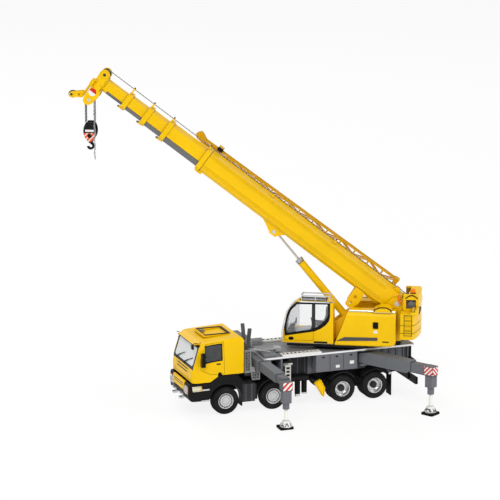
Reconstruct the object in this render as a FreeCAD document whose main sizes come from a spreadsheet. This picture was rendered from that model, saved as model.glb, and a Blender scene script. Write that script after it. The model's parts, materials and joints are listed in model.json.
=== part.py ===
import FreeCAD, Part
import Sketcher
import math
import os

# Toy crane truck on four axles, with a slewing superstructure and a telescopic boom.
# Frames: the truck's X points forward, Y left and Z up, from the ground under the slewing axis.
# The superstructure and the boom have frames of their own, placed in the last section.

Vector = FreeCAD.Vector
Rotation = FreeCAD.Rotation
Placement = FreeCAD.Placement

document = FreeCAD.newDocument("crane_truck")
sheet = document.addObject("Spreadsheet::Sheet", "Sizes")
rows = 0


class Size:
    """A value with the sheet expression that it comes from."""

    def __init__(self, value, text):
        self.value = value
        self.text = text

    def combine(self, other, sign, turned=False):
        other = size(other)
        first, second = (other, self) if turned else (self, other)
        value = {"+": lambda a, b: a + b, "-": lambda a, b: a - b,
                 "*": lambda a, b: a * b, "/": lambda a, b: a / b}[sign](first.value, second.value)
        return Size(value, f"({first.text} {sign} {second.text})")

    def __add__(self, other):
        return self.combine(other, "+")

    def __radd__(self, other):
        return self.combine(other, "+", True)

    def __sub__(self, other):
        return self.combine(other, "-")

    def __rsub__(self, other):
        return self.combine(other, "-", True)

    def __mul__(self, other):
        return self.combine(other, "*")

    def __rmul__(self, other):
        return self.combine(other, "*", True)

    def __truediv__(self, other):
        return self.combine(other, "/")

    def __neg__(self):
        return self * -1

    def __float__(self):
        return float(self.value)


def size(value):
    return value if isinstance(value, Size) else Size(float(value), repr(float(value)))


class Sizes:
    """One group of named sheet cells."""

    def __init__(self, group, **values):
        global rows
        for name, value in values.items():
            rows += 1
            alias = f"{group}_{name}"
            sheet.set(f"A{rows}", alias)
            sheet.set(f"B{rows}", str(value))
            sheet.setAlias(f"B{rows}", alias)
            setattr(self, name, Size(float(value), f"Sizes.{alias}"))


def bind(thing, name, value):
    value = size(value)
    thing.setExpression(name, value.text)


# ---- solids: boxes, rods, slabs cut from an outline, and turned pieces -------------------------

def box(x, y, z):
    """A box between the two ends given for each axis."""
    solid = document.addObject("Part::Box", "box")
    for name, axis, (low, high) in (("Length", "x", x), ("Width", "y", y), ("Height", "z", z)):
        bind(solid, name, size(high) - low)
        bind(solid, f"Placement.Base.{axis}", low)
    return solid


TURNS = {"x": Rotation(Vector(0, 1, 0), 90), "y": Rotation(Vector(1, 0, 0), -90), "z": Rotation()}


def rod(axis, radius, centre, low, high):
    """A cylinder along an axis; centre is its place on the other two axes, in x, y, z order."""
    solid = document.addObject("Part::Cylinder", "rod")
    bind(solid, "Radius", radius)
    bind(solid, "Height", size(high) - low)
    solid.Placement = Placement(Vector(), TURNS[axis])
    places = list(centre)
    places.insert("xyz".index(axis), low)
    for name, value in zip("xyz", places):
        bind(solid, f"Placement.Base.{name}", value)
    return solid


def bar(start, end, thick, deep=None):
    """A straight bar of square or flat section between two points."""
    start, end = Vector(*map(float, start)), Vector(*map(float, end))
    solid = document.addObject("Part::Box", "bar")
    along = end - start
    bind(solid, "Length", along.Length)
    bind(solid, "Width", thick)
    bind(solid, "Height", deep or thick)
    turn = Rotation(along, Vector(0, 1, 0), Vector(0, 0, 1), "XZY")
    half = Vector(0, float(thick) / 2, float(deep or thick) / 2)
    solid.Placement = Placement(start - turn.multVec(half), turn)
    return solid


def draw(sketch, corners):
    """Closes a line through the corners; a third value rounds a corner with an arc of that radius."""
    count = len(corners)
    points = [Vector(float(c[0]), float(c[1]), 0) for c in corners]
    radii = [float(c[2]) if len(c) > 2 else 0.0 for c in corners]
    before, after, centres, left = [], [], [], []
    for index, point in enumerate(points):
        back = (points[index - 1] - point).normalize()
        ahead = (points[(index + 1) % count] - point).normalize()
        half = back.getAngle(ahead) / 2
        reach = radii[index] / math.tan(half)
        before.append(point + back * reach)
        after.append(point + ahead * reach)
        middle = back + ahead
        centres.append(point + middle.normalize() * (radii[index] / math.sin(half)) if radii[index] else point)
        left.append(back.cross(ahead).z < 0)
    first = sketch.GeometryCount
    for index in range(count):
        sketch.addGeometry(Part.LineSegment(after[index], before[(index + 1) % count]), False)
    rule = Sketcher.Constraint
    for index, corner in enumerate(corners):
        line, previous = first + index, first + (index - 1) % count
        holder = (line, 1)
        if radii[index]:
            ends = (before[index], after[index]) if left[index] else (after[index], before[index])
            angles = [math.atan2(e.y - centres[index].y, e.x - centres[index].x) for e in ends]
            circle = Part.Circle(centres[index], Vector(0, 0, 1), radii[index])
            arc = sketch.addGeometry(Part.ArcOfCircle(circle, *angles), False)
            mark = sketch.addGeometry(Part.Point(points[index]), True)
            sketch.addConstraint(rule("Tangent", previous, 2, arc, 1 if left[index] else 2))
            sketch.addConstraint(rule("Tangent", line, 1, arc, 2 if left[index] else 1))
            sketch.addConstraint(rule("PointOnObject", mark, 1, previous))
            sketch.addConstraint(rule("PointOnObject", mark, 1, line))
            fix(sketch, rule("Radius", arc, radii[index]), corner[2])
            holder = (mark, 1)
        else:
            sketch.addConstraint(rule("Coincident", previous, 2, line, 1))
        fix(sketch, rule("DistanceX", -1, 1, *holder, points[index].x), corner[0])
        fix(sketch, rule("DistanceY", -1, 1, *holder, points[index].y), corner[1])


def fix(sketch, constraint, value):
    index = sketch.addConstraint(constraint)
    bind(sketch, f"Constraints[{index}]", value)


def flat(body, plane, offset=0):
    """An empty sketch on one of the body's own origin planes."""
    sketch = body.newObject("Sketcher::SketchObject", "outline")
    origin = [feature for feature in body.Origin.OriginFeatures if feature.Role == plane]
    sketch.AttachmentSupport = (origin[0], [""])
    sketch.MapMode = "FlatFace"
    bind(sketch, "AttachmentOffset.Base.z", offset)
    return sketch


PLANES = {"x": "YZ_Plane", "y": "XZ_Plane", "z": "XY_Plane"}


def slab(axis, low, high, corners, *openings, rounds=()):
    """A plate between two places on an axis. Its outline and openings use the other two axes."""
    body = document.addObject("PartDesign::Body", "slab")
    sketch = flat(body, PLANES[axis], -size(high) if axis == "y" else low)
    draw(sketch, corners)
    for opening in openings:
        draw(sketch, opening)
    for centre_u, centre_v, radius in rounds:
        place = Vector(float(centre_u), float(centre_v), 0)
        circle = sketch.addGeometry(Part.Circle(place, Vector(0, 0, 1), float(radius)), False)
        fix(sketch, Sketcher.Constraint("Radius", circle, float(radius)), radius)
        fix(sketch, Sketcher.Constraint("DistanceX", -1, 1, circle, 3, place.x), centre_u)
        fix(sketch, Sketcher.Constraint("DistanceY", -1, 1, circle, 3, place.y), centre_v)
    pad = body.newObject("PartDesign::Pad", "thickness")
    pad.Profile = sketch
    bind(pad, "Length", size(high) - low)
    return body


def turned(axis, profile, centre=(0, 0, 0)):
    """A piece turned about an axis through centre; the profile is (radius, place along)."""
    body = document.addObject("PartDesign::Body", "turned")
    sketch = flat(body, "XZ_Plane" if axis == "z" else "XY_Plane")
    draw(sketch, [(c[1], c[0], *c[2:]) for c in profile] if axis == "x" else profile)
    spin = body.newObject("PartDesign::Revolution", "turn")
    spin.Profile = sketch
    spin.ReferenceAxis = (sketch, ["H_Axis" if axis == "x" else "V_Axis"])
    spin.Angle = 360
    for name, value in zip("xyz", centre):
        bind(body, f"Placement.Base.{name}", value)
    return body


def rectangle(u, v, radius=None):
    corners = [(u[0], v[0]), (u[1], v[0]), (u[1], v[1]), (u[0], v[1])]
    return [(*corner, radius) for corner in corners] if radius else corners


def fuse(*solids):
    joined = document.addObject("Part::MultiFuse", "joined")
    joined.Shapes = list(solids)
    return joined


def cut(base, *tools):
    taken = document.addObject("Part::Cut", "cut")
    taken.Base = base
    taken.Tool = tools[0] if len(tools) == 1 else fuse(*tools)
    return taken


def common(*solids):
    shared = document.addObject("Part::MultiCommon", "common")
    shared.Shapes = list(solids)
    return shared


def group(*solids):
    held = document.addObject("Part::Compound", "group")
    held.Links = list(solids)
    return held


def other_side(solid):
    """The same piece mirrored to the right-hand side."""
    copy = document.addObject("Part::Mirroring", "mirrored")
    copy.Source = solid
    copy.Normal = Vector(0, 1, 0)
    return copy


def both_sides(*solids):
    return [item for solid in solids for item in (solid, other_side(solid))]


nodes = {}


def node(name, frame, *solids):
    """Makes a sub-part of the solids, which sits in one of the frames."""
    piece = fuse(*solids) if len(solids) > 1 else group(solids[0])
    piece.Label = name
    nodes[name] = (piece, frame)
    return piece


TRUCK, UPPER, BOOM = "truck", "upper", "boom"

# ---- truck: chassis, axles and wheels ----------------------------------------------------------

truck = Sizes("truck", rear=-57, front=118, rail_bottom=15.5, rail_top=22, rail_gauge=8.5, rail_wall=2,
              subframe_front=51.8, subframe_half=13, subframe_bottom=22.3, deck_bottom=40)
axle = Sizes("axle", first=98, second=59.2, third=2.2, fourth=-24.9, height=10.7, beam_half=11.6,
             stub=1.5, tube=3, king_pin=14)
wheel = Sizes("wheel", radius=10.7, width=7.7, rim=6.1, face=24.5, clearance=0.05, shoulder=1.2)
AXLES = {1: axle.first, 2: axle.second, 3: axle.third, 4: axle.fourth}

rail = box((truck.rear, truck.front), (truck.rail_gauge - truck.rail_wall, truck.rail_gauge),
           (truck.rail_bottom, truck.rail_top))
cross_bars = [box((x - 1.5, x + 1.5), (-truck.rail_gauge, truck.rail_gauge), (truck.rail_bottom + 1,
                                                                      truck.rail_top))
              for x in (truck.rear + 4, axle.fourth, axle.third, axle.second, axle.first, truck.front - 4)]
engine_sump = box((axle.second + 8, axle.first - 8), (-6, 6), (truck.rail_bottom - 2,
                                                               truck.subframe_bottom))
subframe = slab("x", truck.rear, truck.subframe_front,
                rectangle((-truck.subframe_half, truck.subframe_half), (truck.rail_top, truck.deck_bottom)),
                rectangle((2 - truck.subframe_half, truck.subframe_half - 2),
                          (truck.subframe_bottom + 2, truck.deck_bottom - 2)))
ribs = [box((truck.rear + 3 + 6 * step, truck.rear + 4 + 6 * step),
            (truck.subframe_half - 0.5, truck.subframe_half + 1), (truck.subframe_bottom + 2.3,
                                                                   truck.deck_bottom))
        for step in range(7)]
cab_bearers = fuse(box((73.4, truck.front - 4), (-truck.rail_gauge, truck.rail_gauge), (truck.rail_top - 1,
                                                                      26)),
                   box((86, 102), (-6.5, 6.5), (25, 31.6)), box((112, truck.front - 4), (-6.5, 6.5), (25,
                                                                      26.8)))
neck = box((truck.subframe_front - 1, 76), (-truck.rail_gauge, truck.rail_gauge), (truck.rail_top - 1,
                                                                      31.2))

axle_tubes = []
for number in (3, 4):
    tube = cut(rod("y", axle.tube, (AXLES[number], axle.height), -10.6, 10.6),
               rod("y", axle.stub + wheel.clearance, (AXLES[number], axle.height), -11, 11))
    hanger = slab("y", truck.rail_gauge - truck.rail_wall, truck.rail_gauge,
                  [(AXLES[number] - 5, truck.rail_bottom + 1), (AXLES[number] - 2.2, axle.height - 1),
                   (AXLES[number] + 2.2, axle.height - 1), (AXLES[number] + 5, truck.rail_bottom + 1)],
                  rounds=[(AXLES[number], axle.height, axle.tube - 0.5)])
    axle_tubes += [tube, *both_sides(hanger)]

front_beams = []
for number in (1, 2):
    beam = box((AXLES[number] - 2, AXLES[number] + 2), (-axle.beam_half, axle.beam_half),
               (axle.height - 2.5, axle.height + 1.5))
    spring = box((AXLES[number] - 3.5, AXLES[number] + 3.5), (truck.rail_gauge - 2, truck.rail_gauge),
                 (axle.height + 1, truck.rail_bottom + 0.5))
    fork = slab("x", AXLES[number] - 2, AXLES[number] + 2,
                [(9.5, 5.8), (15.6, 5.8), (15.6, 7.2), (11.6, 7.2), (11.6, 14.4), (15.6, 14.4), (15.6,
                                                                      15.8),
                 (9.5, 15.8)])
    pin = rod("z", 1, (AXLES[number], axle.king_pin), 7, 14.6)
    front_beams += [beam, *both_sides(spring, fork, pin)]

hinge = Sizes("rear_leg", hinge_x=-17.3, hinge_y=20.5, pin=1.8, bracket_low=27.6, bracket_top=39.2)
bracket = fuse(box((hinge.hinge_x - 5, hinge.hinge_x + 5), (truck.subframe_half - 0.5, hinge.hinge_y + 4),
                   (hinge.bracket_low, hinge.bracket_low + 1.3)),
               box((hinge.hinge_x - 5, hinge.hinge_x + 5), (truck.subframe_half - 0.5, hinge.hinge_y + 4),
                   (hinge.bracket_top, truck.deck_bottom)),
               rod("z", hinge.pin, (hinge.hinge_x, hinge.hinge_y), hinge.bracket_low, truck.deck_bottom))
rear_plate = fuse(box((truck.rear - 2.3, truck.rear + 1), (-15.4, 15.4), (24.9, 37)),
                  box((truck.rear - 2.3, truck.rear), (-22, 22), (24.9, 28.4)),
                  box((truck.rear - 4.5, truck.rear - 2.5), (-24, 24), (8, 13.5)),
                  *both_sides(box((truck.rear - 3, truck.rear - 1.6), (9, 11), (9, 26))))
node("chassis", TRUCK, *both_sides(rail, *ribs, bracket), *cross_bars, engine_sump, subframe, cab_bearers,
     neck,
     *axle_tubes, *front_beams, rear_plate)


def wheel_profile(inner, outer, bore):
    """Tyre and dished rim in one section, from the bore to the tread, with the dish on the outer face."""
    dish = outer - 2.2
    return [(bore, inner + 1), (wheel.rim, inner + 1), (wheel.rim, inner), (wheel.radius, inner,
                                                                      wheel.shoulder),
            (wheel.radius, outer, wheel.shoulder), (wheel.rim, outer), (wheel.rim - 1, outer - 0.4),
            (wheel.rim - 1.6, dish), (3, dish), (2.6, outer - 0.5), (bore, outer - 0.5)]


for number in (1, 2):
    for side, name in ((1, "left"), (-1, "right")):
        place = AXLES[number]
        bore = axle.stub + wheel.clearance
        knuckle = fuse(cut(box((place - 2, place + 2), (12.4, 15.6), (7.3, 14.3)),
                           rod("z", 1.05, (place, axle.king_pin), 7, 15)),
                       rod("y", axle.stub, (place, axle.height), 15.2, wheel.face - 0.8),
                       box((place - 6, place - 1.5), (12.6, 13.8), (8, 10)))
        tyre = turned("y", wheel_profile(wheel.face - wheel.width, wheel.face, bore), (place, 0,
                                                                      axle.height))
        for piece, title in ((knuckle, "steering_knuckle"), (tyre, "front_wheel")):
            node(f"{title}_{number}_{name}", TRUCK, piece if side > 0 else other_side(piece))

dual = Sizes("dual", outer_low=18.3, inner_low=11.3, inner_high=17.5)
for number in (3, 4):
    place = AXLES[number]
    outer = turned("y", wheel_profile(dual.outer_low, wheel.face, axle.stub - 0.5), (place, 0, axle.height))
    inner = turned("y", [(1, dual.inner_low), (wheel.radius, dual.inner_low, wheel.shoulder),
                         (wheel.radius, dual.inner_high, wheel.shoulder), (1, dual.inner_high)],
                   (place, 0, axle.height))
    drum = rod("y", 4, (place, axle.height), dual.inner_high - 1, dual.outer_low + 1.5)
    shaft = rod("y", axle.stub, (place, axle.height), -wheel.face + 1, wheel.face - 1)
    node(f"rear_wheels_{number}", TRUCK, *both_sides(outer, inner, drum), shaft)

# ---- truck: driver's cab, bumper and fenders ----------------------------------------------------

cab = Sizes("cab", rear=82.8, front=125, half=24.3, roof=59.5, bottom=26.8, wall=1.2, corner=5,
            sill=31.6, belt=38.5, window_low=43.5, window_top=55.5)
cab_side = [(cab.rear, cab.sill), (103, cab.sill, 3), (110.5, cab.bottom, 3), (cab.front, cab.bottom, 1),
            (cab.front + 0.4, 31, 3), (123.9, cab.belt, 4), (118.9, 54.5, 3), (116, 57.2, 4), (84.5,
                                                                      cab.roof, 2),
            (cab.rear, 57.5, 1.5)]
cab_plan = [(cab.rear, -cab.half, 2), (cab.front + 0.5, -cab.half, cab.corner),
            (cab.front + 0.5, cab.half, cab.corner), (cab.rear, cab.half, 2)]
cab_across = [(-cab.half, cab.bottom), (cab.half, cab.bottom), (cab.half, cab.belt, 20), (22.6,
                                                                      cab.roof + 0.2, 4),
              (-22.6, cab.roof + 0.2, 4), (-cab.half, cab.belt, 20)]
shell = common(slab("y", -cab.half, cab.half, cab_side), slab("z", cab.bottom - 1, cab.roof + 2, cab_plan),
               slab("x", cab.rear - 1, cab.front + 2, cab_across))
hollow = slab("y", 2.4 - cab.half, cab.half - 2.4,
              [(cab.rear + cab.wall, cab.sill + cab.wall), (103.4, cab.sill + cab.wall), (110.8,
                                                                      cab.bottom + cab.wall),
               (123.1, cab.bottom + cab.wall, 2), (122.5, cab.belt, 3), (117.1, 54, 3), (114.5, 56, 3),
               (84, cab.roof - 1.6)])
side_window = [(101, cab.window_low, 1), (114.2, 42.2, 1.5), (113.6, 54.7, 1.5), (101, cab.window_top, 1)]
rear_window = rectangle((-17, 17), (44, 54), 1.5)
windscreen_across = [(-20.6, 39.4, 2), (20.6, 39.4, 2), (20.2, 53.4, 2), (-20.2, 53.4, 2)]
openings = [slab("y", -30, 30, side_window), slab("x", cab.rear - 2, cab.rear + 6, rear_window),
            slab("x", 112, 132, windscreen_across)]
arch = rod("y", 14, (axle.first, axle.height), -30, 30)
hatch = slab("z", cab.roof - 1.2, cab.roof + 0.5, rectangle((89, 111), (-12.5, 9.5), 1.5),
             rectangle((91, 109), (-10.5, 7.5), 1))
mirror_arm = both_sides(bar((115.6, 22.6, 47.5), (117, 27, 47), 0.9), bar((115.6, 22.4, 44.5), (117, 27,
                                                                      44), 0.9),
                        slab("x", 115.6, 118.4, rectangle((25.6, 28.9), (39.8, 50.8), 1)))
visor = slab("y", -19, 19, [(118.1, 54.4), (121.9, 54.9, 0.4), (121.7, 55.7, 0.4), (116.1, 57.6)])
seats = [fuse(box((92, 103), (y - 5.5, y + 5.5), (32, 38)), slab("y", y - 5.5, y + 5.5, [(90, 37), (94, 37),
                                                                      (91.4, 52, 1),
         (88.4, 52, 1)])) for y in (-12, 12)]
dash = slab("y", -21, 21, [(113, 32), (121.5, 32), (121.5, 38.2), (114, 39.4, 1)])
node("truck_cab", TRUCK, cut(cut(shell, hollow), *openings, arch), hatch, *mirror_arm, visor, *seats, dash,
     box((90, 118), (-8, 8), (31.6, 33)))

glass_side = slab("y", 0.8 - cab.half, cab.half - 0.8, cab_side)
glass_core = slab("y", 1.6 - cab.half, cab.half - 1.6,
                  [(cab.rear + 0.9, cab.sill), (cab.front - 1.1, cab.sill), (123.2, cab.belt, 4), (118.1,
                                                                      54.5, 3),
                   (115.5, 56.6, 4), (84.5, cab.roof - 0.8, 2)])
panes = fuse(slab("y", -30, 30, side_window), slab("x", cab.rear - 2, cab.rear + 6, rear_window),
             slab("x", 112, 132, windscreen_across))
node("cab_glass", TRUCK, common(cut(common(glass_side, slab("z", cab.bottom, cab.roof, cab_plan)),
                                    glass_core), panes,
                                shell))

bumper = Sizes("bumper", rear=111.5, front=128, low=12.5, top=26, half=24.5, lamp=20.5)
bumper_plan = [(bumper.rear, -bumper.half), (bumper.front, -bumper.half, 6), (bumper.front, bumper.half, 6),
               (bumper.rear, bumper.half)]
inside_plan = [(bumper.rear - 1, 2 - bumper.half), (bumper.front - 2.5, 2 - bumper.half, 4),
               (bumper.front - 2.5, bumper.half - 2, 4), (bumper.rear - 1, bumper.half - 2)]
bumper_shell = cut(common(slab("z", bumper.low, bumper.top, bumper_plan),
                          slab("y", -30, 30, [(bumper.rear, bumper.low), (126.3, bumper.low, 2),
                                              (bumper.front, 19, 6),
                                              (126.9, bumper.top, 1), (bumper.rear, bumper.top)])),
                   slab("z", bumper.low - 1, bumper.top + 1, inside_plan))
stays = both_sides(box((truck.front, bumper.front - 1.5), (6.4, 9.4), (16, 22.2)))
steps = both_sides(box((bumper.rear, 118), (bumper.half - 3, bumper.half + 0.8), (20.8, 22)),
                   box((bumper.rear, 118), (bumper.half - 3, bumper.half + 0.8), (12.2, 13.4)))
lamps = both_sides(rod("x", 2.4, (17.6, bumper.lamp), bumper.front - 4, bumper.front + 0.2),
                   slab("x", bumper.front - 5, bumper.front - 1.4, rectangle((12, 21), (17.8, 23.6), 1.5)))
tow = Sizes("tow", side=8, pin=0.8, low=11.8, top=17.4)
jaw = [cut(fuse(box((bumper.front - 1.5, bumper.front + 2), (side - 1.8, side + 1.8), (tow.low,
                                                                      tow.low + 1.4)),
                box((bumper.front - 1.5, bumper.front + 2), (side - 1.8, side + 1.8), (tow.top - 1.4,
                                                                      tow.top)),
                box((bumper.front - 1.6, bumper.front - 0.4), (side - 1.8, side + 1.8), (tow.low,
                                                                      tow.top))),
           rod("z", tow.pin, (bumper.front + 0.9, side), tow.low - 1, tow.top + 1)) for side in (tow.side,
                                                                      -tow.side)]
node("front_bumper", TRUCK, bumper_shell, *stays, *steps, *lamps, *jaw)

fender = Sizes("fender", inner=16, outer=24.4, arch=13.3, thick=1.1, rear_arch=12.6)
front_fender = cut(slab("y", fender.inner, fender.outer,
                        [(84.7, 5.7), (84.7, 26.5, 2), (89, 31, 3), (103.4, 31, 1), (111.3, 25.8, 1),
                         (111.3, 14),
                         (109, 14), (100, 10), (90, 5.7)]),
                   rod("y", fender.arch, (axle.first, axle.height), 10, 30))


def arch_over(number, radius, low):
    """A curved mudguard over one wheel, cut off level at the height low."""
    place = AXLES[number]
    ring = cut(rod("y", radius + fender.thick, (place, axle.height), fender.inner, fender.outer),
               rod("y", radius, (place, axle.height), 10, 30))
    return common(ring, box((place - 20, place + 20), (10, 30), (low, 30)))


second_fender = fuse(arch_over(2, fender.arch, 10), box((axle.second + 13.6, axle.second + 16), (16, 24.4),
                                                        (10, 22)),
                     box((axle.second - 3, axle.second + 3), (truck.rail_gauge, 17), (24, 25)))
rear_fenders = fuse(arch_over(3, fender.rear_arch, 19), arch_over(4, fender.rear_arch, 19),
                    box((axle.third - 3, axle.third + 3), (truck.subframe_half, 17), (23.4, 24.2)),
                    box((axle.fourth - 3, axle.fourth + 3), (truck.subframe_half, 17), (23.4, 24.2)),
                    box((axle.fourth - 14.4, axle.fourth - 11.6), (16, 24.4), (18.6, 20.2)),
                    box((axle.fourth - 13.9, axle.fourth - 13), (16, 24.4), (1.5, 19.5)))
side_tank = box((74.4, 84.6), (16, 24.4), (8.5, 22.5))
tank_strap = box((74, 84.6), (truck.rail_gauge, 16.4), (18, 22))
node("fenders", TRUCK, *both_sides(front_fender, second_fender, rear_fenders, side_tank, tank_strap,
                                   box((84.9, 86.5), (truck.rail_gauge, 17), (20, 26))))

# ---- truck: boom rest, deck and equipment --------------------------------------------------------

rest = Sizes("rest", rear=71.6, front=74, top=61.5)
leg = slab("x", rest.rear, rest.front, [(2.6, truck.deck_bottom), (6, truck.deck_bottom), (6, 50), (9.4,
                                                                      rest.top, 0.8), (7, rest.top, 0.8),
                                        (4.2, 52), (4.2, 46), (2.6, 44)])
node("boom_rest", TRUCK, *both_sides(leg), box((rest.rear, rest.front), (-6, 6), (truck.deck_bottom, 46)))
lower_holes = [(70.7 + 2.1 * column, 26 + 2.1 * row, 0.55) for column in range(3) for row in range(3)]
upper_holes = [(78 + 2.1 * column, 33.2 + 2.1 * row, 0.55) for column in range(2) for row in range(7)]
shield = slab("y", 20.4, 21.2, [(69.2, 24.2), (75.6, 24.2), (76.6, 31), (81.6, 31), (81.6, 48, 1), (76.8,
                                                                      48, 1),
                                (76, 35), (73.2, 34), (73.2, 31.1), (69.2, 31.1)],
              rounds=lower_holes + upper_holes)
shield_back = fuse(box((76.8, 81.6), (17.5, 20.6), (46.8, 48)), box((69.2, 81.6), (17.5, 20.6), (30, 31.2)))
exhaust = rod("z", 2, (79.2, 16.6), 30, 46)
node("heat_shield", TRUCK, shield, shield_back, exhaust, box((72, 80.5), (truck.rail_gauge, 18), (27,
                                                                      30.4)))

deck = Sizes("deck", rear=-58, front=67.5, half=25, top=41.3, ring_hole=19)
deck_plate = cut(slab("z", truck.deck_bottom, deck.top,
                      [(deck.rear, -deck.half, 2), (deck.front, -deck.half), (deck.front, deck.half),
                       (deck.rear, deck.half, 2)]),
                 rod("z", deck.ring_hole, (0, 0), 38, 44))
slots = [box((22 + 3.4 * step, 24.4 + 3.4 * step), (19.6, 23.6), (42, 44)) for step in range(9)]
planks = cut(box((20, 52), (18.5, 24.9), (deck.top, deck.top + 1.3)), *slots)
lockers = both_sides(box((56, 66), (10, 22), (deck.top, 43.6)))
node("deck", TRUCK, deck_plate, *both_sides(planks), *lockers, box((54, 66), (-6, 6), (deck.top, 43.2)))

toolbox = box((-9.6, 24.5), (16.6, 25), (26.2, truck.deck_bottom))
seams = [box((x, x + 0.5), (24.6, 26), (27, 39.4)) for x in (1.6, 12.8)]
toolbox_stay = box((2, 14), (13, 17), (30, 34))
cylinders = [rod("z", 2.2, (38.2, 20.4), 7.7, 19.9), rod("z", 2.2, (31.6, 17.6), 8.4, 19),
             box((29, 44), (truck.subframe_half, 21), (19.6, 23))]
wedge = slab("y", 22.2, 25, [(25.4, 17.2), (20.4, 20.1, 0.6), (16.9, 13, 0.6), (17.8, 4.6, 0.8)])
wedge_stay = box((19, 24), (truck.rail_gauge, 23), (16.6, 18.6))
ladder = fuse(box((47.4, 52), (29.2, 30.6), (34.6, 36)), slab("y", 29.6, 30.4, rectangle((47.4, 52), (20,
                                                                      35.4), 0.6),
              *[rectangle((48.3, 51.1), (21.4 + 2.8 * step, 23.2 + 2.8 * step)) for step in range(5)]),
              box((48, 51.6), (24.8, 30), (34.6, 35.6)), box((44, 51.6), (truck.subframe_half, 25), (34.4,
                                                                      35.8)))
body_side = fuse(cut(toolbox, *seams), toolbox_stay, *cylinders, wedge, wedge_stay, ladder)
node("toolboxes_left", TRUCK, body_side)
node("toolboxes_right", TRUCK, other_side(body_side))

# ---- truck: outriggers ---------------------------------------------------------------------------

leg_front = Sizes("front_leg", left=67.5, right=57.5, low=32.3, high=39.3, half=3.8, wall=0.5, slack=0.2,
                  stage_inner=11, stage_outer=60, inner_half=3.1, jack=72.8)
housing_low, housing_high = leg_front.low - 1.1, truck.deck_bottom
channels = [rectangle((x - leg_front.half - leg_front.slack, x + leg_front.half + leg_front.slack),
                      (leg_front.low - leg_front.slack, leg_front.high + leg_front.slack))
            for x in (leg_front.right, leg_front.left)]
housing_low_side = [(52.2, housing_low), (72.8, housing_low), (72.8, housing_high), (52.2, housing_high)]
node("outrigger_housing", TRUCK, slab("y", -25, 25, housing_low_side, *channels))


def jack_column(x, y, head_low, head_top, tube_low, foot_low):
    """Square jack tube with its round lower tube, bored for the rod."""
    column = fuse(box((x - 3.25, x + 3.25), (y - 3.25, y + 3.25), (tube_low, head_top)),
                  box((x - 4, x + 4), (y - 3.45, y + 3.45), (head_low, head_top)),
                  rod("z", 2.6, (x, y), foot_low, tube_low + 1))
    return cut(column, rod("z", 1.45, (x, y), foot_low - 1, head_top - 3))


def jack_foot(x, y, top):
    """Jack rod, its cup and the square ground pad, which sits a little off the rod's centre."""
    cup = turned("z", [(0, 1.2), (4.6, 1.2), (4.6, 3, 1), (2.6, 6.2, 0.8), (0, 6.2)], (x, y, 0))
    pad = slab("z", 0, 1.6, rectangle((x - 5.3 + 0.5, x + 5.3 + 0.5), (y - 5.3 - 0.7, y + 5.3 - 0.7), 1))
    return fuse(rod("z", 1.4, (x, y), 5, top), cup, pad)


for side, name, x in ((1, "left", leg_front.left), (-1, "right", leg_front.right)):
    stage_hollow = box((x - leg_front.half + leg_front.wall, x + leg_front.half - leg_front.wall), (8, 62),
                       (leg_front.low + leg_front.wall, leg_front.high - leg_front.wall))
    stage = cut(box((x - leg_front.half, x + leg_front.half), (leg_front.stage_inner,
                                                               leg_front.stage_outer),
                    (leg_front.low, leg_front.high)), stage_hollow)
    inner = box((x - leg_front.inner_half, x + leg_front.inner_half), (20, 70),
                (leg_front.low + 0.7, leg_front.high - 0.7))
    extension = fuse(inner, jack_column(x, leg_front.jack, 29.8, 36.8, 20.1, 15.3))
    foot = jack_foot(x, leg_front.jack, 24)
    for piece, title in ((stage, "front_outrigger_beam"), (extension, "front_outrigger_jack"),
                         (foot, "front_outrigger_foot")):
        node(f"{title}_{name}", TRUCK, piece if side > 0 else other_side(piece))

swing = Sizes("swing", angle=60, reach=64, half=4, low=29.3, high=38.9, wall=0.8, slack=0.2)
# The beam is drawn along its own X, from the hinge outward, and turned into place as one frame.
for side, name in ((1, "left"), (-1, "right")):
    outline = [(-2.4, swing.low), (43, swing.low), (47, swing.low + 3), (47, swing.high), (8, swing.high,
                                                                      4),
               (-2.4, swing.high - 1.8)]
    outer = slab("y", -swing.half, swing.half, outline)
    cavity = box((6, 50), (swing.wall - swing.half, swing.half - swing.wall),
                 (swing.low + swing.wall, swing.high - swing.wall))
    outer = cut(outer, cavity, rod("z", hinge.pin + 0.05, (0, 0), 25, 42))
    arm = box((20, 62), (swing.wall + swing.slack - swing.half, swing.half - swing.wall - swing.slack),
              (swing.low + 1, swing.high - 1))
    arm = fuse(arm, jack_column(swing.reach, 0, 30.8, 38, 21.3, 15.8))
    foot = jack_foot(swing.reach, 0, 25)
    for piece, title in ((outer, "rear_outrigger_beam"), (arm, "rear_outrigger_jack"),
                         (foot, "rear_outrigger_foot")):
        node(f"{title}_{name}", f"swing_{name}", piece if side > 0 else other_side(piece))

# ---- superstructure: slewing frame, housings and counterweight -----------------------------------

ring = Sizes("ring", radius=17, low=40, top=44.1, base_top=47)
pivot = Sizes("pivot", back=-50, height=77, pin=2)
plate = Sizes("plate", inner=8.7, outer=10.1)
side_outline = [(12, ring.top), (12, 50), (-14, 70, 6), (-38, 74, 8), (pivot.back + 3, pivot.height + 5, 3),
                (pivot.back - 5, pivot.height + 4, 4), (-56.4, 72, 3), (-53, 60, 4), (-53, ring.top)]
side_plate = slab("y", plate.inner, plate.outer, side_outline, rounds=[(-16, 55, 2), (-28, 62, 3.2)])
pivot_pin = rod("y", pivot.pin, (pivot.back, pivot.height), -plate.outer - 0.2, plate.outer + 0.2)
base_plate = box((-53, 12), (-plate.outer, plate.outer), (ring.top, ring.base_top))
cross_wall = box((-53, -51.6), (-plate.inner, plate.inner), (ring.base_top - 0.5, 62))
cylinder_lugs = both_sides(slab("y", 3.6, 4.8, [(-24, 46.8), (-4, 46.8), (-8, 57, 2), (-14, 61, 2), (-21,
                                                                      57, 2)]))
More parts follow.
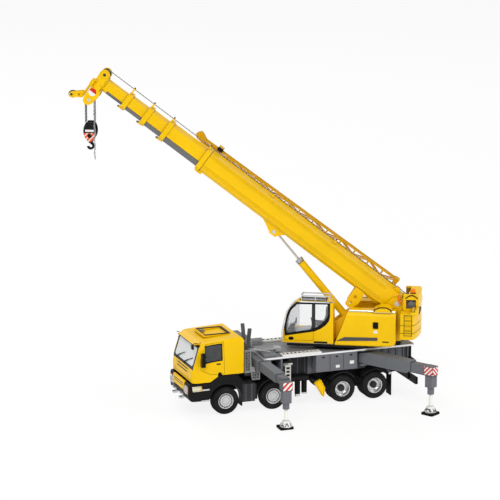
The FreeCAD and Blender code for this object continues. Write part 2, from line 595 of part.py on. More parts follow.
node("slew_frame", UPPER, rod("z", ring.radius, (0, 0), ring.low, ring.top + 0.5), base_plate, cross_wall,
     *both_sides(side_plate), pivot_pin, *cylinder_lugs,
     box((-26, 34), (plate.outer - 1, 23), (ring.top, 45.7)))

house = Sizes("house", inner=10.5, outer=24.5, back=-50, low=45.9, top=73)
house_side = [(-3.6, house.low), (-3, 47, 1), (-8, 58.9, 14), (-13.2, house.top, 2), (house.back, house.top,
                                                                      1),
              (house.back, 48, 2), (-46, house.low)]
house_body = common(slab("y", house.inner, house.outer, house_side),
                    slab("x", house.back - 1, 0, [(house.inner, house.low), (house.outer, house.low, 1.5),
                                                  (house.outer, house.top, 4), (house.inner, house.top)]))
door_seam = cut(slab("y", house.outer - 0.5, house.outer + 1, rectangle((-46, -16), (54.6, 71), 2)),
                slab("y", house.outer - 1, house.outer + 2, rectangle((-45.6, -16.4), (55, 70.6), 1.8)))
stripe = slab("y", house.outer - 0.4, house.outer + 0.3, [(-4.6, 49.6), (-11, 52.8, 1), (-36.3, 53.2, 1),
                                                         (-36.3, 50.8, 1)])
vent = slab("y", 11.5, 23.5, [(-32.4, house.top - 0.5), (-33.4, 75.2, 1), (-38, 77, 3), (-43, 77, 3),
                              (-46.6, 75, 1), (-47, house.top - 0.5)])
handle = cut(slab("y", house.outer - 0.4, house.outer + 0.5, rectangle((-36.6, -32.8), (60.4, 65.2), 0.9)),
             box((-35.8, -33.6), (24, 26), (61.4, 64.4)))
housing = fuse(house_body, stripe, vent, handle)
node("housing_left", UPPER, housing)
node("housing_right", UPPER, other_side(cut(fuse(
    slab("y", house.inner, house.outer, [(33, house.low), (34, 52, 3), (26, 66, 6), (-13, house.top, 3),
                                         (house.back, house.top, 1), (house.back, 48, 2), (-46,
                                                                      house.low)]), vent),
    door_seam, box((-10, -9.5), (24, 26), (48, 71)), box((8, 8.5), (24, 26), (48, 66)))))

weight = Sizes("weight", front=-53.6, tail=68, half=24.5, low=52.3, top=72.5, hood_front=-55, hood_half=14,
               hood_top=85.5, slot_half=10.4)
tail_plan = cut(rod("z", weight.tail, (0, 0), weight.low, weight.top),
                box((weight.front, 80), (-80, 80), (40, 90)), *both_sides(box((-80, 0), (weight.half, 90),
                                                                      (40, 90))))
joint_lines = [cut(rod("z", weight.tail + 1, (0, 0), height, height + 0.5),
                   rod("z", weight.tail - 0.5, (0, 0), height - 1, height + 1)) for height in (57.1, 63.3)]
rear_slope = slab("y", -weight.half, weight.half, [(-61, weight.top - 0.5), (-67, weight.top - 0.5),
                                                   (-67, 76.2, 1), (-62, 75, 1)])
rungs = both_sides(*[box((-62.2, -56.7), (weight.half - 0.4, weight.half + 0.4), (56.3 + 2.4 * step,
                                                                      57.1 + 2.4 * step))
                     for step in range(7)])
hood_plan = cut(rod("z", weight.tail, (0, 0), weight.top - 7, weight.hood_top),
                box((weight.hood_front, 80), (-80, 80), (40, 90)),
                *both_sides(box((-80, 0), (weight.hood_half, 90), (40, 90))))
hood_inside = fuse(cut(rod("z", weight.tail - 1.2, (0, 0), 60, weight.hood_top - 1.2),
                       *both_sides(box((-80, 0), (weight.hood_half - 1.4, 90), (40, 90)))),
                   box((-59.2, 0), (1.4 - weight.hood_half, weight.hood_half - 1.4), (60, 90)))
hood_window = slab("y", -30, 30, rectangle((-64.4, -57.4), (74.6, 81), 1))
weight_slot = box((-59.4, -40), (-weight.slot_half, weight.slot_half), (60, 90))
drum_room = rod("y", 6.4, (-61.6, weight.top), 1.4 - weight.hood_half, weight.hood_half - 1.4)
node("counterweight", UPPER, cut(fuse(cut(fuse(tail_plan, rear_slope), *joint_lines), *rungs,
                                      cut(hood_plan, hood_inside, hood_window)),
                                 weight_slot, drum_room,
                                 box((-66, -50), (-weight.slot_half, weight.slot_half), (weight.top - 1,
                                                                      84))),
     box((weight.front - 0.6, -53), (-8, 8), (54, 59.9)),
     turned("z", [(0, 0), (2.2, 0), (2.2, 0.8), (1.8, 1), (1.8, 3.6, 0.9), (0, 3.6)], (-62, 9,
                                                                      weight.hood_top)))

drum = Sizes("drum", back=-61.6, height=72.5, core=4.3, flange=6, half=8.6)
drum_profile = [(0, -drum.half - 3.9), (1.2, -drum.half - 3.9), (1.2, -drum.half), (drum.flange,
                                                                      -drum.half),
                (drum.flange, 1.2 - drum.half), (drum.core, 1.2 - drum.half), (drum.core, drum.half - 1.2),
                (drum.flange, drum.half - 1.2), (drum.flange, drum.half), (1.2, drum.half),
                (1.2, drum.half + 3.9), (0, drum.half + 3.9)]
node("winch_drum", UPPER, turned("y", drum_profile, (drum.back, 0, drum.height)))

# ---- superstructure: crane cab -------------------------------------------------------------------

cabin = Sizes("cabin", inner=10.6, outer=24.5, back=-2.2, low=46.1, top=80.9, rail=84)
cabin_side = [(cabin.back, cabin.low), (37.3, cabin.low, 2), (36.8, 56, 40), (33.6, 72, 12), (25.5,
                                                                      cabin.top, 5),
              (-1.5, cabin.top - 0.5, 1.5)]
cabin_core = [(cabin.back + 1, cabin.low + 1.4), (36, cabin.low + 1.4, 1.5), (35.7, 56, 38), (32.5, 71.6,
                                                                      11),
              (24.8, cabin.top - 1.1, 4), (-0.6, cabin.top - 1.6, 1)]
cabin_across = [(cabin.inner, cabin.low), (cabin.outer, cabin.low, 1.5), (cabin.outer, 60, 20), (23.2,
                                                                      cabin.top, 3),
                (cabin.inner + 0.8, cabin.top, 2), (cabin.inner, 70, 10)]
door_window = [(11, 58.6, 20), (34, 54.2, 1), (34.6, 62, 20), (31, 72.4, 10), (26, 77.4, 1.5), (2.2, 77.8,
                                                                      1),
               (2.2, 67.6, 8)]
front_band = slab("x", 20, 45, [(12.4, 50, 1), (22.8, 50, 1), (22, 77, 2), (13, 77, 2)])
front_glass_zone = box((27, 45), (0, 40), (49.6, 79))
roof_glass = box((4, 23.4), (13, 21.6), (78, 84))
cabin_shell = cut(common(slab("y", cabin.inner, cabin.outer, cabin_side),
                         slab("x", cabin.back - 1, 40, cabin_across)),
                  slab("y", cabin.inner + 0.9, cabin.outer - 1.3, cabin_core))
cabin_openings = fuse(slab("y", 5, 30, door_window), common(front_band, front_glass_zone), roof_glass)
seat = fuse(box((6, 17), (13.5, 21.5), (47.2, 54)), slab("y", 13.5, 21.5, [(3, 53.5), (7, 53.5), (4.6, 68,
                                                                      1),
                                                                           (1.6, 68, 1)]))
rails = [bar((x, y, 80.2), (x, y, cabin.rail), 0.8) for x, y in ((1, 22), (12, 22), (23, 22), (23, 12.5), (1,
                                                                      13))]
rails += [bar((0.6, y, cabin.rail), (23.4, y, cabin.rail), 0.8) for y in (13, 22)]
rails += [bar((23, 12.6, cabin.rail), (23, 22.4, cabin.rail), 0.8)]
node("crane_cab", UPPER, cut(cabin_shell, cabin_openings), seat, *rails,
     slab("y", 14, 21, [(26, 47.2), (35, 47.2), (34, 56, 1), (30, 58, 1)]))
pane_skin = cut(common(slab("y", cabin.inner, cabin.outer - 0.5, cabin_side), slab("x", cabin.back, 40,
                                                                      cabin_across)),
                slab("y", cabin.inner + 0.7, cabin.outer - 1.1, cabin_core))
node("crane_cab_glass", UPPER, common(pane_skin, cabin_openings))

# ---- boom: X runs along it from the pivot, Z is up from its centre line --------------------------

base = Sizes("base", back=-5.5, front=188, low=-11.5, top=5.5, half=7.8, wall=0.8, chamfer=3)
step = Sizes("step", wall=0.6, gap=0.25, first_gap=0.35, collar=4)


def section(low, top, half, chamfer):
    """The boom's box section, with its lower corners cut off."""
    return [(-half, low + chamfer), (chamfer - half, low), (half - chamfer, low), (half, low + chamfer),
            (half, top), (-half, top)]


def tube(back, front, low, top, half, chamfer, wall):
    """One hollow boom section."""
    return slab("x", back, front, section(low, top, half, chamfer),
                section(low + wall, top - wall, half - wall, chamfer - 0.4))


base_tube = tube(0, base.front, base.low, base.top, base.half, base.chamfer, base.wall)
rear_cheeks = both_sides(slab("y", base.half - 0.9, base.half,
                              [(base.back, -4.6, 4), (-1, -6.4, 4), (12, base.low + 3), (12,
                                                                      base.top - 0.4),
                               (base.back, base.top - 0.4, 4)], rounds=[(0, 0, pivot.pin + 0.05)]))
pivot_tube = cut(rod("y", 3.6, (0, 0), -base.half, base.half), rod("y", pivot.pin + 0.05, (0, 0), -9, 9))
pin_path = rod("y", pivot.pin + 0.05, (0, 0), -9, 9)
collar = cut(slab("x", base.front - step.collar, base.front,
                  section(base.low - 0.6, base.top + 0.7, base.half + 0.5, base.chamfer + 0.2)),
             slab("x", 150, 200, section(base.low + base.wall, base.top - base.wall, base.half - base.wall,
                                         base.chamfer - 0.4)))
lug = Sizes("lug", along=109.1, drop=-14.6, pin=1.2)
lug_plates = both_sides(slab("y", 3.4, 4.8, [(lug.along - 9, base.low + 0.5), (lug.along + 14,
                                                                      base.low + 0.5),
                                             (lug.along + 8, base.low - 2.4, 2), (lug.along + 2, -17.6, 2),
                                             (lug.along - 3, -17.6, 2), (lug.along - 6, base.low - 2, 2)]))
lug_pin = rod("y", lug.pin, (lug.along, lug.drop), -5, 5)
long_ribs = both_sides(box((14, base.front - step.collar), (base.half - 0.2, base.half + 0.45), (-6.4,
                                                                      -5.4)),
                       box((14, base.front - step.collar), (base.half - 0.2, base.half + 0.45), (3.6, 4.4)))
roller_cheeks = both_sides(slab("y", 1.6, 2.6, [(2, base.top - 1), (10, base.top - 1), (7.4, 8.6, 1), (4.6,
                                                                      8.6, 1)]))
roller = rod("y", 1.5, (6, 6.3), -1.8, 1.8)
rope_posts = [cut(slab("x", along, along + 1.2, [(-2, base.top - 0.5), (2, base.top - 0.5), (1.6, 9.4, 0.6),
                                                 (-1.6, 9.4, 0.6)]), rod("x", 0.8, (0, 8.2), along - 1,
                                                                      along + 3))
              for along in (66, 126, base.front - 1.2)]
bracket_plate = slab("y", 6, 7.4, [(24, base.low + 2), (33, base.low + 2), (32, -26, 2), (26, -26.6, 2),
                                   (23.4, -20, 2)], rounds=[(28.6, -16.5, 1.3), (28.9, -22.4, 1.3)])
front_feet = both_sides(box((base.front - 7, base.front - 1), (3.4, 5.2), (base.low - 1.8, base.low + 0.4)))
node("boom_base", BOOM, cut(base_tube, box((-1, 12), (-9, 9), (-14, base.low + 3)), pin_path), *rear_cheeks,
     pivot_tube, collar,
     *lug_plates, lug_pin, *long_ribs, *roller_cheeks, roller, *rope_posts, *both_sides(bracket_plate),
     *front_feet)

STAGES = {1: (41, 224, 4.4), 2: (59, 243, 3.55), 3: (77, 262, 2.7), 4: (94, 281, 1.85)}
tabs = {1: 9.7, 2: 9.6, 3: 9.5, 4: 9.5}
pitch = step.wall + step.gap
for number, (back, front, _) in STAGES.items():
    inset = base.wall + step.first_gap + pitch * (number - 1)
    low, top, half = base.low + inset, base.top - inset, base.half - inset
    chamfer = base.chamfer - 0.25 * number
    collar_low, collar_top = base.low + 0.4 * number - 0.9, top + 1.1
    around = cut(slab("x", front - step.collar, front, section(low - 1, collar_top, half + 0.75,
                                                               chamfer + 0.3)),
                 slab("x", front - 8, front + 2, section(low + step.wall, top - step.wall, half - step.wall,
                                                         chamfer - 0.4)))
    guide = cut(slab("x", front - 1.6, front - 0.4, [(-1.8, top - 0.2), (1.8, top - 0.2), (1.4,
                                                                      tabs[number], 0.5),
                                                     (-1.4, tabs[number], 0.5)]),
                rod("x", 0.8, (0, 8.2), front - 3, front + 2))
    foot = slab("y", -1.6, 1.6, [(front - step.collar, low - 0.6), (front - step.collar, low - 1.6),
                                 (front - 1, low - 2), (front + 2.4, low - 1.9, 0.4), (front + 2.4,
                                                                      low - 1.2),
                                 (front, low - 0.6)])
    extra = () if number == 4 else (around, guide, foot)
    node(f"boom_section_{number}", BOOM, tube(back, front, low, top, half, chamfer, step.wall), *extra)

head = Sizes("head", along=285.8, rise=4.3, low_along=284.3, low_rise=-19.1, pin=1, cheek=4.2, outer=5.4,
             sheave=3.5, low_sheave=3.45)
head_side = [(281, -8), (281, 4.4), (283, 8.6, 1), (288.6, 8.6, 2), (289.4, 3, 3), (288.4, -10, 6),
             (289.4, -22, 2), (284, -24, 2), (280.6, -20, 2), (279.6, -12, 3)]
cheeks = both_sides(slab("y", head.cheek, head.outer, head_side))
head_box = box((281, 282.2), (-head.outer, head.outer), (-9, 2.6))
web = box((284.6, 287.6), (-head.cheek - 0.2, head.cheek + 0.2), (-13.8, -2.8))
axles = [rod("y", head.pin, (along, rise), -head.outer - 0.4, head.outer + 0.4)
         for along, rise in ((head.along, head.rise), (head.low_along, head.low_rise))]
nose_ears = [slab("z", height, height + 1.4, [(285.6, head.outer - 0.5), (289.6, head.outer - 0.5),
                                              (292, 6.2, 1), (290.6, 9, 1), (286, 8.4, 1)],
                  ) for height in (-9.6, -3.2)]
nose_pin = rod("z", 0.8, (290, 7.2), -9.6, -1.8)
node("boom_head", BOOM, *cheeks, head_box, web, *axles, *nose_ears, nose_pin)


def grooved(radius, half, bore):
    """A sheave with a rope groove, turned about its pin."""
    return [(bore, -half), (radius, -half), (radius - 0.9, 0), (radius, half), (bore, half)]


def sheaves(name, along, rise, radius, places, half):
    hub = rod("y", 1.9, (along, rise), places[0] - half, places[-1] + half)
    discs = [turned("y", grooved(radius, half, head.pin + 0.03), (along, place, rise)) for place in places]
    bore = rod("y", head.pin + 0.05, (along, rise), -6, 6)
    node(name, BOOM, cut(fuse(hub, *discs), bore))


sheaves("head_sheave", head.along, head.rise, head.sheave, (-2.2, 2.2), 1.5)
sheaves("hoist_sheaves", head.low_along, head.low_rise, head.low_sheave, (-2.6, 0, 2.6), 1.3)

nose = Sizes("nose", along=297.9, rise=-24.4, sheave=2.8, hinge_along=290, hinge_side=7.2)
nose_arm = both_sides(slab("y", 1.9, 2.9, [(290.8, -5), (294, -5.6, 1), (300.4, -22, 2), (299, -27, 1.4),
                                           (295, -26.4, 1), (291, -14, 3)]))
nose_bridge = box((291, 293.6), (-2.9, 6.6), (-8.1, -3.4))
nose_knuckle = cut(fuse(rod("z", 1.7, (nose.hinge_along, nose.hinge_side), -8.1, -3.3),
                        box((nose.hinge_along, 293.6), (5.8, 8.4), (-8.1, -3.4))),
                   rod("z", 0.85, (nose.hinge_along, nose.hinge_side), -12, 0))
nose_wheel = turned("y", [(0, -1.2), (nose.sheave, -1.2), (nose.sheave - 0.7, 0), (nose.sheave, 1.2), (0,
                                                                      1.2)],
                    (nose.along, 0, nose.rise))
node("boom_nose", BOOM, *nose_arm, nose_bridge, nose_knuckle, nose_wheel,
     rod("y", 0.9, (nose.along, nose.rise), -3.1, 3.1))

ram = Sizes("ram", angle=13.7, length=97.7, barrel=2.9, rod=0.9, bore=0.95, cup=68.8, rod_length=67)
# The cylinder is drawn along its own X, back from the pin under the boom, and turned as one frame.
rod_eye = cut(fuse(rod("y", 2.2, (0, 0), -3.2, 3.2), rod("x", ram.rod, (0, 0), -ram.rod_length, -0.5)),
              rod("y", lug.pin + 0.05, (0, 0), -4, 4))
barrel_end = ram.cup - ram.length
barrel = cut(fuse(rod("x", ram.barrel, (0, 0), -ram.length, barrel_end),
                  rod("x", ram.barrel + 0.3, (0, 0), barrel_end - 2.5, barrel_end),
                  rod("y", 3.2, (-ram.length, 0), -3, 3)),
             rod("x", ram.bore, (0, 0), 3.5 - ram.length, 0))
node("luffing_rod", "ram", rod_eye)
node("luffing_barrel", "ram", barrel)

jib = Sizes("jib", side=-14, half=3, bar=1, rear=9, front=196, rear_low=2.6, rear_top=9.9, front_low=3.4,
            front_top=7.2, panels=14)


def jib_height(along, low, top):
    """Height of a chord that runs from low at the rear to top at the front of the jib."""
    return low + (top - low) * ((along - jib.rear) / (jib.front - jib.rear))


panels = int(jib.panels.value)
panel = (jib.front - jib.rear - jib.bar) / panels
openings = []
for index in range(panels):
    start = jib.rear + jib.bar + panel * index
    end = start + panel - jib.bar
    corners = [(start, jib_height(start, jib.rear_low, jib.front_low) + jib.bar),
               (end, jib_height(end, jib.rear_low, jib.front_low) + jib.bar),
               (end, jib_height(end, jib.rear_top, jib.front_top) - jib.bar),
               (start, jib_height(start, jib.rear_top, jib.front_top) - jib.bar)]
    slope = 1 if index % 2 else 3
    lean = 0.7
    if slope == 1:
        openings.append([(corners[0][0], corners[0][1] + lean), (corners[2][0] - lean, corners[2][1]),
                         corners[3]])
        openings.append([(corners[0][0] + lean, corners[0][1]), corners[1], (corners[2][0],
                                                                      corners[2][1] - lean)])
    else:
        openings.append([corners[0], (corners[1][0] - lean, corners[1][1]), (corners[3][0],
                                                                      corners[3][1] - lean)])
        openings.append([(corners[1][0], corners[1][1] + lean), corners[2], (corners[3][0] + lean,
                                                                      corners[3][1])])
truss_side = [(jib.rear, jib.rear_low), (jib.front, jib.front_low), (jib.front, jib.front_top),
              (jib.rear, jib.rear_top)]
trusses = [slab("y", side - 0.5, side + 0.5, truss_side, *openings)
           for side in (jib.side - jib.half + 0.5, jib.side + jib.half - 0.5)]
rungs = []
for index in range(panels + 1):
    start = jib.rear + panel * index
    for low, top, inset in ((jib.rear_low, jib.front_low, 0.05), (jib.rear_top, jib.front_top, -0.95)):
        height = jib_height(start, low, top) + inset
        rungs.append(box((start + 0.1, start + 0.9), (jib.side - jib.half + 0.3, jib.side + jib.half - 0.3),
                         (height, height + 0.9)))
fork = [slab("y", side - 0.7, side + 0.7, [(194, 3.4), (200, 4, 1), (203.4, 6.2, 1.5), (200, 10.4, 1.5),
                                           (194, 7.6)]) for side in (jib.side - 2.4, jib.side + 2.4)]
jib_head = [box((178, 182.5), (jib.side - 3.4, jib.side + 3.4), (2.2, 3.9)),
            box((178, 182.5), (jib.side - 3.4, jib.side + 3.4), (6.7, 9.6)),
            box((8, 12), (jib.side - 3.4, jib.side + 3.4), (2, 3.4)),
            box((8, 12), (jib.side - 3.4, jib.side + 3.4), (9, 10.6)),
            *[box((8.2, 11.4), (side - 0.6, side + 0.6), (2.4, 10)) for side in (jib.side - 2.8,
                                                                      jib.side + 2.8)]]
hangers = [box((along, along + 4), (jib.side + 1, -base.half), (1.8, 3.5)) for along in (46, 138)]
node("stowed_jib", BOOM, *trusses, *rungs, *fork, *jib_head, *hangers)

# ---- ropes, hook block and hook ------------------------------------------------------------------

rope = Sizes("rope", radius=0.35, height=8.2)
drum_run = (-12.0, 6.0 - 0.1)
node("winch_rope", BOOM, rod("x", rope.radius, (0, rope.height), *drum_run))
stops = [(6.1, STAGES[1][1] - 1.6)] + [(STAGES[n][1] - 0.4, STAGES[n + 1][1] - 1.6) for n in (1, 2)]
stops += [(STAGES[3][1] - 0.4, head.along)]
for number, (start, end) in enumerate(stops, 1):
    node(f"boom_rope_{number}", BOOM, rod("x", rope.radius, (0, rope.height), start, end))

block = Sizes("block", drop=33, top=17.5)
falls_ropes = [rod("z", rope.radius, (x, y), -block.top - 0.5, 0) for x in (-head.low_sheave,
                                                                      head.low_sheave)
               for y in (-2.6, 0, 2.6)]
node("hoist_ropes", "falls", group(*falls_ropes))
block_cheek = slab("y", 3.2, 4.6, [(-5.6, -20, 2), (-3.2, -block.top, 1.5), (3.2, -block.top, 1.5), (5.6,
                                                                      -20, 2),
                                   (5.6, -27, 2), (2.6, -block.drop, 1.5), (-2.6, -block.drop, 1.5), (-5.6,
                                                                      -27, 2)])
block_core = cut(slab("y", -3.3, 3.3, [(-4, -24), (4, -24), (2.6, -block.drop, 1), (-2.6, -block.drop, 1)]),
                 rod("z", 1.05, (0, 0), -block.drop - 1, -29))
block_wheels = rod("y", 3.4, (0, -22), -3.1, 3.1)
node("hook_block", "falls", *both_sides(block_cheek), block_core, block_wheels)
shank = fuse(rod("z", 1, (0, 0), -34, -29.1), turned("z", [(0, -34.4), (1.8, -34.4), (1.8, -33.1), (0,
                                                                      -33.1)]))
claw = cut(rod("y", 3, (0, -36.9), -0.9, 0.9), rod("y", 1.3, (0.1, -36.9), -2, 2),
           slab("y", -2, 2, [(0, -36.9), (4, -37.6), (4, -34), (0.4, -34.6)]))
node("hook", "falls", shank, claw, box((-1.3, 0.2), (-0.9, 0.9), (-35.4, -34.2)))

# ---- frames: where the truck, the superstructure, the boom and its parts stand -------------------

pose = Sizes("pose", slew=-28, luff=36.2)
UP, ACROSS = Vector(0, 0, 1), Vector(0, 1, 0)


def place(x=0, y=0, z=0, axis=UP, degrees=0):
    return Placement(Vector(float(x), float(y), float(z)), Rotation(axis, float(degrees)))


def frames_at(shift_x, shift_y):
    truck_frame = place(shift_x, shift_y)
    upper = truck_frame * place(degrees=pose.slew)
    boom = upper * place(pivot.back, 0, pivot.height, ACROSS, -pose.luff)
    return {TRUCK: truck_frame, UPPER: upper, BOOM: boom,
            "ram": boom * place(lug.along, 0, lug.drop, ACROSS, -ram.angle),
            "falls": boom * place(head.low_along, 0, head.low_rise, ACROSS, pose.luff),
            "swing_left": truck_frame * place(hinge.hinge_x, hinge.hinge_y, 0, UP, 180 - swing.angle),
            "swing_right": truck_frame * place(hinge.hinge_x, -hinge.hinge_y, 0, UP, swing.angle - 180)}


document.recompute()
for thing in document.Objects:
    if "Invalid" in thing.State or "Error" in thing.State:
        raise RuntimeError(f"{thing.Label} failed: {thing.State}")

# The model's origin is under the middle of its bounding box, on the ground.
bounds = FreeCAD.BoundBox()
for piece, frame in nodes.values():
    piece.Placement = frames_at(0, 0)[frame]
    bounds.add(piece.Shape.BoundBox)
frames = frames_at(-bounds.Center.x, -bounds.Center.y)
for piece, frame in nodes.values():
    piece.Placement = frames[frame]
document.recompute()

os.makedirs("parts", exist_ok=True)
for name, (piece, frame) in nodes.items():
    shape = piece.Shape
    if shape.isNull() or not shape.isValid():
        raise RuntimeError(f"{name} has no valid shape")
    shape.exportStep(f"parts/{name}.step")
for name, frame in frames.items():
    turn = frame.Rotation
    axes = [turn.multVec(Vector(*axis)) for axis in ((1, 0, 0), (0, 1, 0), (0, 0, 1))]
    numbers = [value for vector in (frame.Base, *axes) for value in vector]
    print("frame", name, *[round(value, 6) for value in numbers])
print("nodes", len(nodes), "size", *[round(value, 1) for value in (bounds.XLength, bounds.YLength,
                                                                   bounds.ZLength)])
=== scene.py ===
import bmesh
import bpy
import json
import math
from mathutils import Matrix, Vector


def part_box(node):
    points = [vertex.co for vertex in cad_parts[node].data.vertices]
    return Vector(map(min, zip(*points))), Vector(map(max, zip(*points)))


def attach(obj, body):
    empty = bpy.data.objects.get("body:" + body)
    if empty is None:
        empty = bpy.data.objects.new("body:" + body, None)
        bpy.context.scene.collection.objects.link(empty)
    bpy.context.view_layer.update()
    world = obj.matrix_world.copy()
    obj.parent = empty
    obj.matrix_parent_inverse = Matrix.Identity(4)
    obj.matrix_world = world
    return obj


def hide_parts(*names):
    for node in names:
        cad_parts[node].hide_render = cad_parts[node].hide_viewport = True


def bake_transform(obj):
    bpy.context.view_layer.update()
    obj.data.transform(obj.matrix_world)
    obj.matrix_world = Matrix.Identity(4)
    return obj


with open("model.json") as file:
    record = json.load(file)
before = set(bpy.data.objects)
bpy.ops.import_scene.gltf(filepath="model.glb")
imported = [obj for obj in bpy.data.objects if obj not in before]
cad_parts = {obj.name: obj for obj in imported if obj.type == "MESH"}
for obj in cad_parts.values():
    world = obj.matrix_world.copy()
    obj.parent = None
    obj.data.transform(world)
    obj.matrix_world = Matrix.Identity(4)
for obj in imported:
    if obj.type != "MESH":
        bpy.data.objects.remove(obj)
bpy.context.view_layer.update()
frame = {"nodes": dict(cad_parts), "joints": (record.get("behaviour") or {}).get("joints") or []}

# ---- where things are ---------------------------------------------------------------------------
# The toy stands on its own frames: the truck, the slewing upper works, the boom, the ram, the falls
# of rope and the two swinging legs. Each is read from the joints, and is measured in millimetres.
JOINTS = {joint["name"]: joint for joint in frame["joints"]}


class Place:
    """A frame of the toy: an origin in metres and three axes, for points given in millimetres."""

    def __init__(self, origin, along, across):
        self.origin = Vector(origin)
        self.along = Vector(along).normalized()
        self.across = Vector(across).normalized()
        self.up = self.along.cross(self.across)
        self.axes = (self.along, self.across, self.up)

    def at(self, x, y, z):
        return self.origin + (self.along * x + self.across * y + self.up * z) * 0.001


def spot(joint):
    return Vector(JOINTS[joint]["pos_m"])


def direction(joint):
    return Vector(JOINTS[joint]["axis"])


SKY = Vector((0, 0, 1))
ring = spot("slew")
TRUCK = Place((ring.x, ring.y, 0), (1, 0, 0), (0, 1, 0))
across = -direction("operator_cab_tilt")
UPPER = Place((ring.x, ring.y, 0), across.cross(SKY), across)
BOOM = Place(spot("boom_luff"), direction("boom_slide_1"), across)
RAM = Place(spot("ram_hinge"), -direction("ram_slide"), across)
FALLS = Place(spot("falls_swing"), across.cross(SKY), across)
DRAWN_FRONT = 132.5
NOSE = (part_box("front_bumper")[1].x - ring.x) * 1000 - DRAWN_FRONT
AXLE_X = {number: (spot(name).x - ring.x) * 1000 for number, name in
          {1: "wheel_spin_1_left", 2: "wheel_spin_2_left", 3: "rear_axle_spin_3",
           4: "rear_axle_spin_4"}.items()}

# ---- camera, floor and light --------------------------------------------------------------------
# A long lens looks at the front left corner from a little above. The floor is a pale sheet of paper
# under three large soft lamps, so the shadows under the truck stay light.
turn, lift = math.radians(20.1), math.radians(13.41)
EYE_DISTANCE, AIM_RIGHT, AIM_UP = 2.0, 0.0267, 0.1202
towards_eye = Vector((math.sin(turn) * math.cos(lift), math.cos(turn) * math.cos(lift), math.sin(lift)))
eye_right = Vector((-math.cos(turn), math.sin(turn), 0))
eye_up = towards_eye.cross(eye_right)
aim = TRUCK.at(AXLE_X[1], 0, 0) + eye_right * AIM_RIGHT + eye_up * AIM_UP
lens = bpy.data.cameras.new("camera")
lens.sensor_width = 36
lens.lens = 186.7
lens.clip_start = 0.05
lens.clip_end = 60
camera = bpy.data.objects.new("camera", lens)
camera.matrix_world = Matrix.Translation(aim + towards_eye * EYE_DISTANCE) @ Matrix(
    (eye_right, eye_up, towards_eye)).transposed().to_4x4()
bpy.context.scene.collection.objects.link(camera)
bpy.context.scene.camera = camera
bpy.context.scene.view_settings.view_transform = "Standard"


def lamp(name, place, size, power, target=(0.0, 0.0, 0.09)):
    light = bpy.data.lights.new(name, "AREA")
    light.shape = "DISK"
    light.size = size
    light.energy = power
    holder = bpy.data.objects.new(name, light)
    holder.location = place
    holder.rotation_euler = (Vector(place) - Vector(target)).to_track_quat("Z", "Y").to_euler()
    bpy.context.scene.collection.objects.link(holder)


lamp("key_lamp", (0.75, 1.3, 1.35), 0.9, 15)
lamp("fill_lamp", (-1.1, 1.0, 0.9), 1.1, 8)
lamp("back_lamp", (0.2, -1.4, 1.3), 1.2, 10)
BUMP_STRENGTH = 0.6


class Wire:
    """One output of a shader node. Python's own signs add Math nodes to it."""

    def __init__(self, paint, socket):
        self.paint = paint
        self.socket = socket

    def math(self, operation, first, second=0.0):
        return self.paint.add("ShaderNodeMath", {"operation": operation}, (first, second))

    def __abs__(self):
        return self.math("ABSOLUTE", self)

    def between(self, low, high):
        return (self > low) * (self < high)

    def either(self, other):
        return self.math("MAXIMUM", self, other)


def sign(operation, turned=False):
    """A method for one of Python's signs; turned puts the wire second."""
    if turned:
        return lambda wire, other: wire.math(operation, other, wire)
    return lambda wire, other: wire.math(operation, wire, other)


for word, operation in (("add", "ADD"), ("sub", "SUBTRACT"), ("mul", "MULTIPLY")):
    setattr(Wire, f"__{word}__", sign(operation))
    setattr(Wire, f"__r{word}__", sign(operation, turned=True))
for word, operation in (("truediv", "DIVIDE"), ("gt", "GREATER_THAN"), ("lt", "LESS_THAN"),
                        ("mod", "FLOORED_MODULO")):
    setattr(Wire, f"__{word}__", sign(operation))


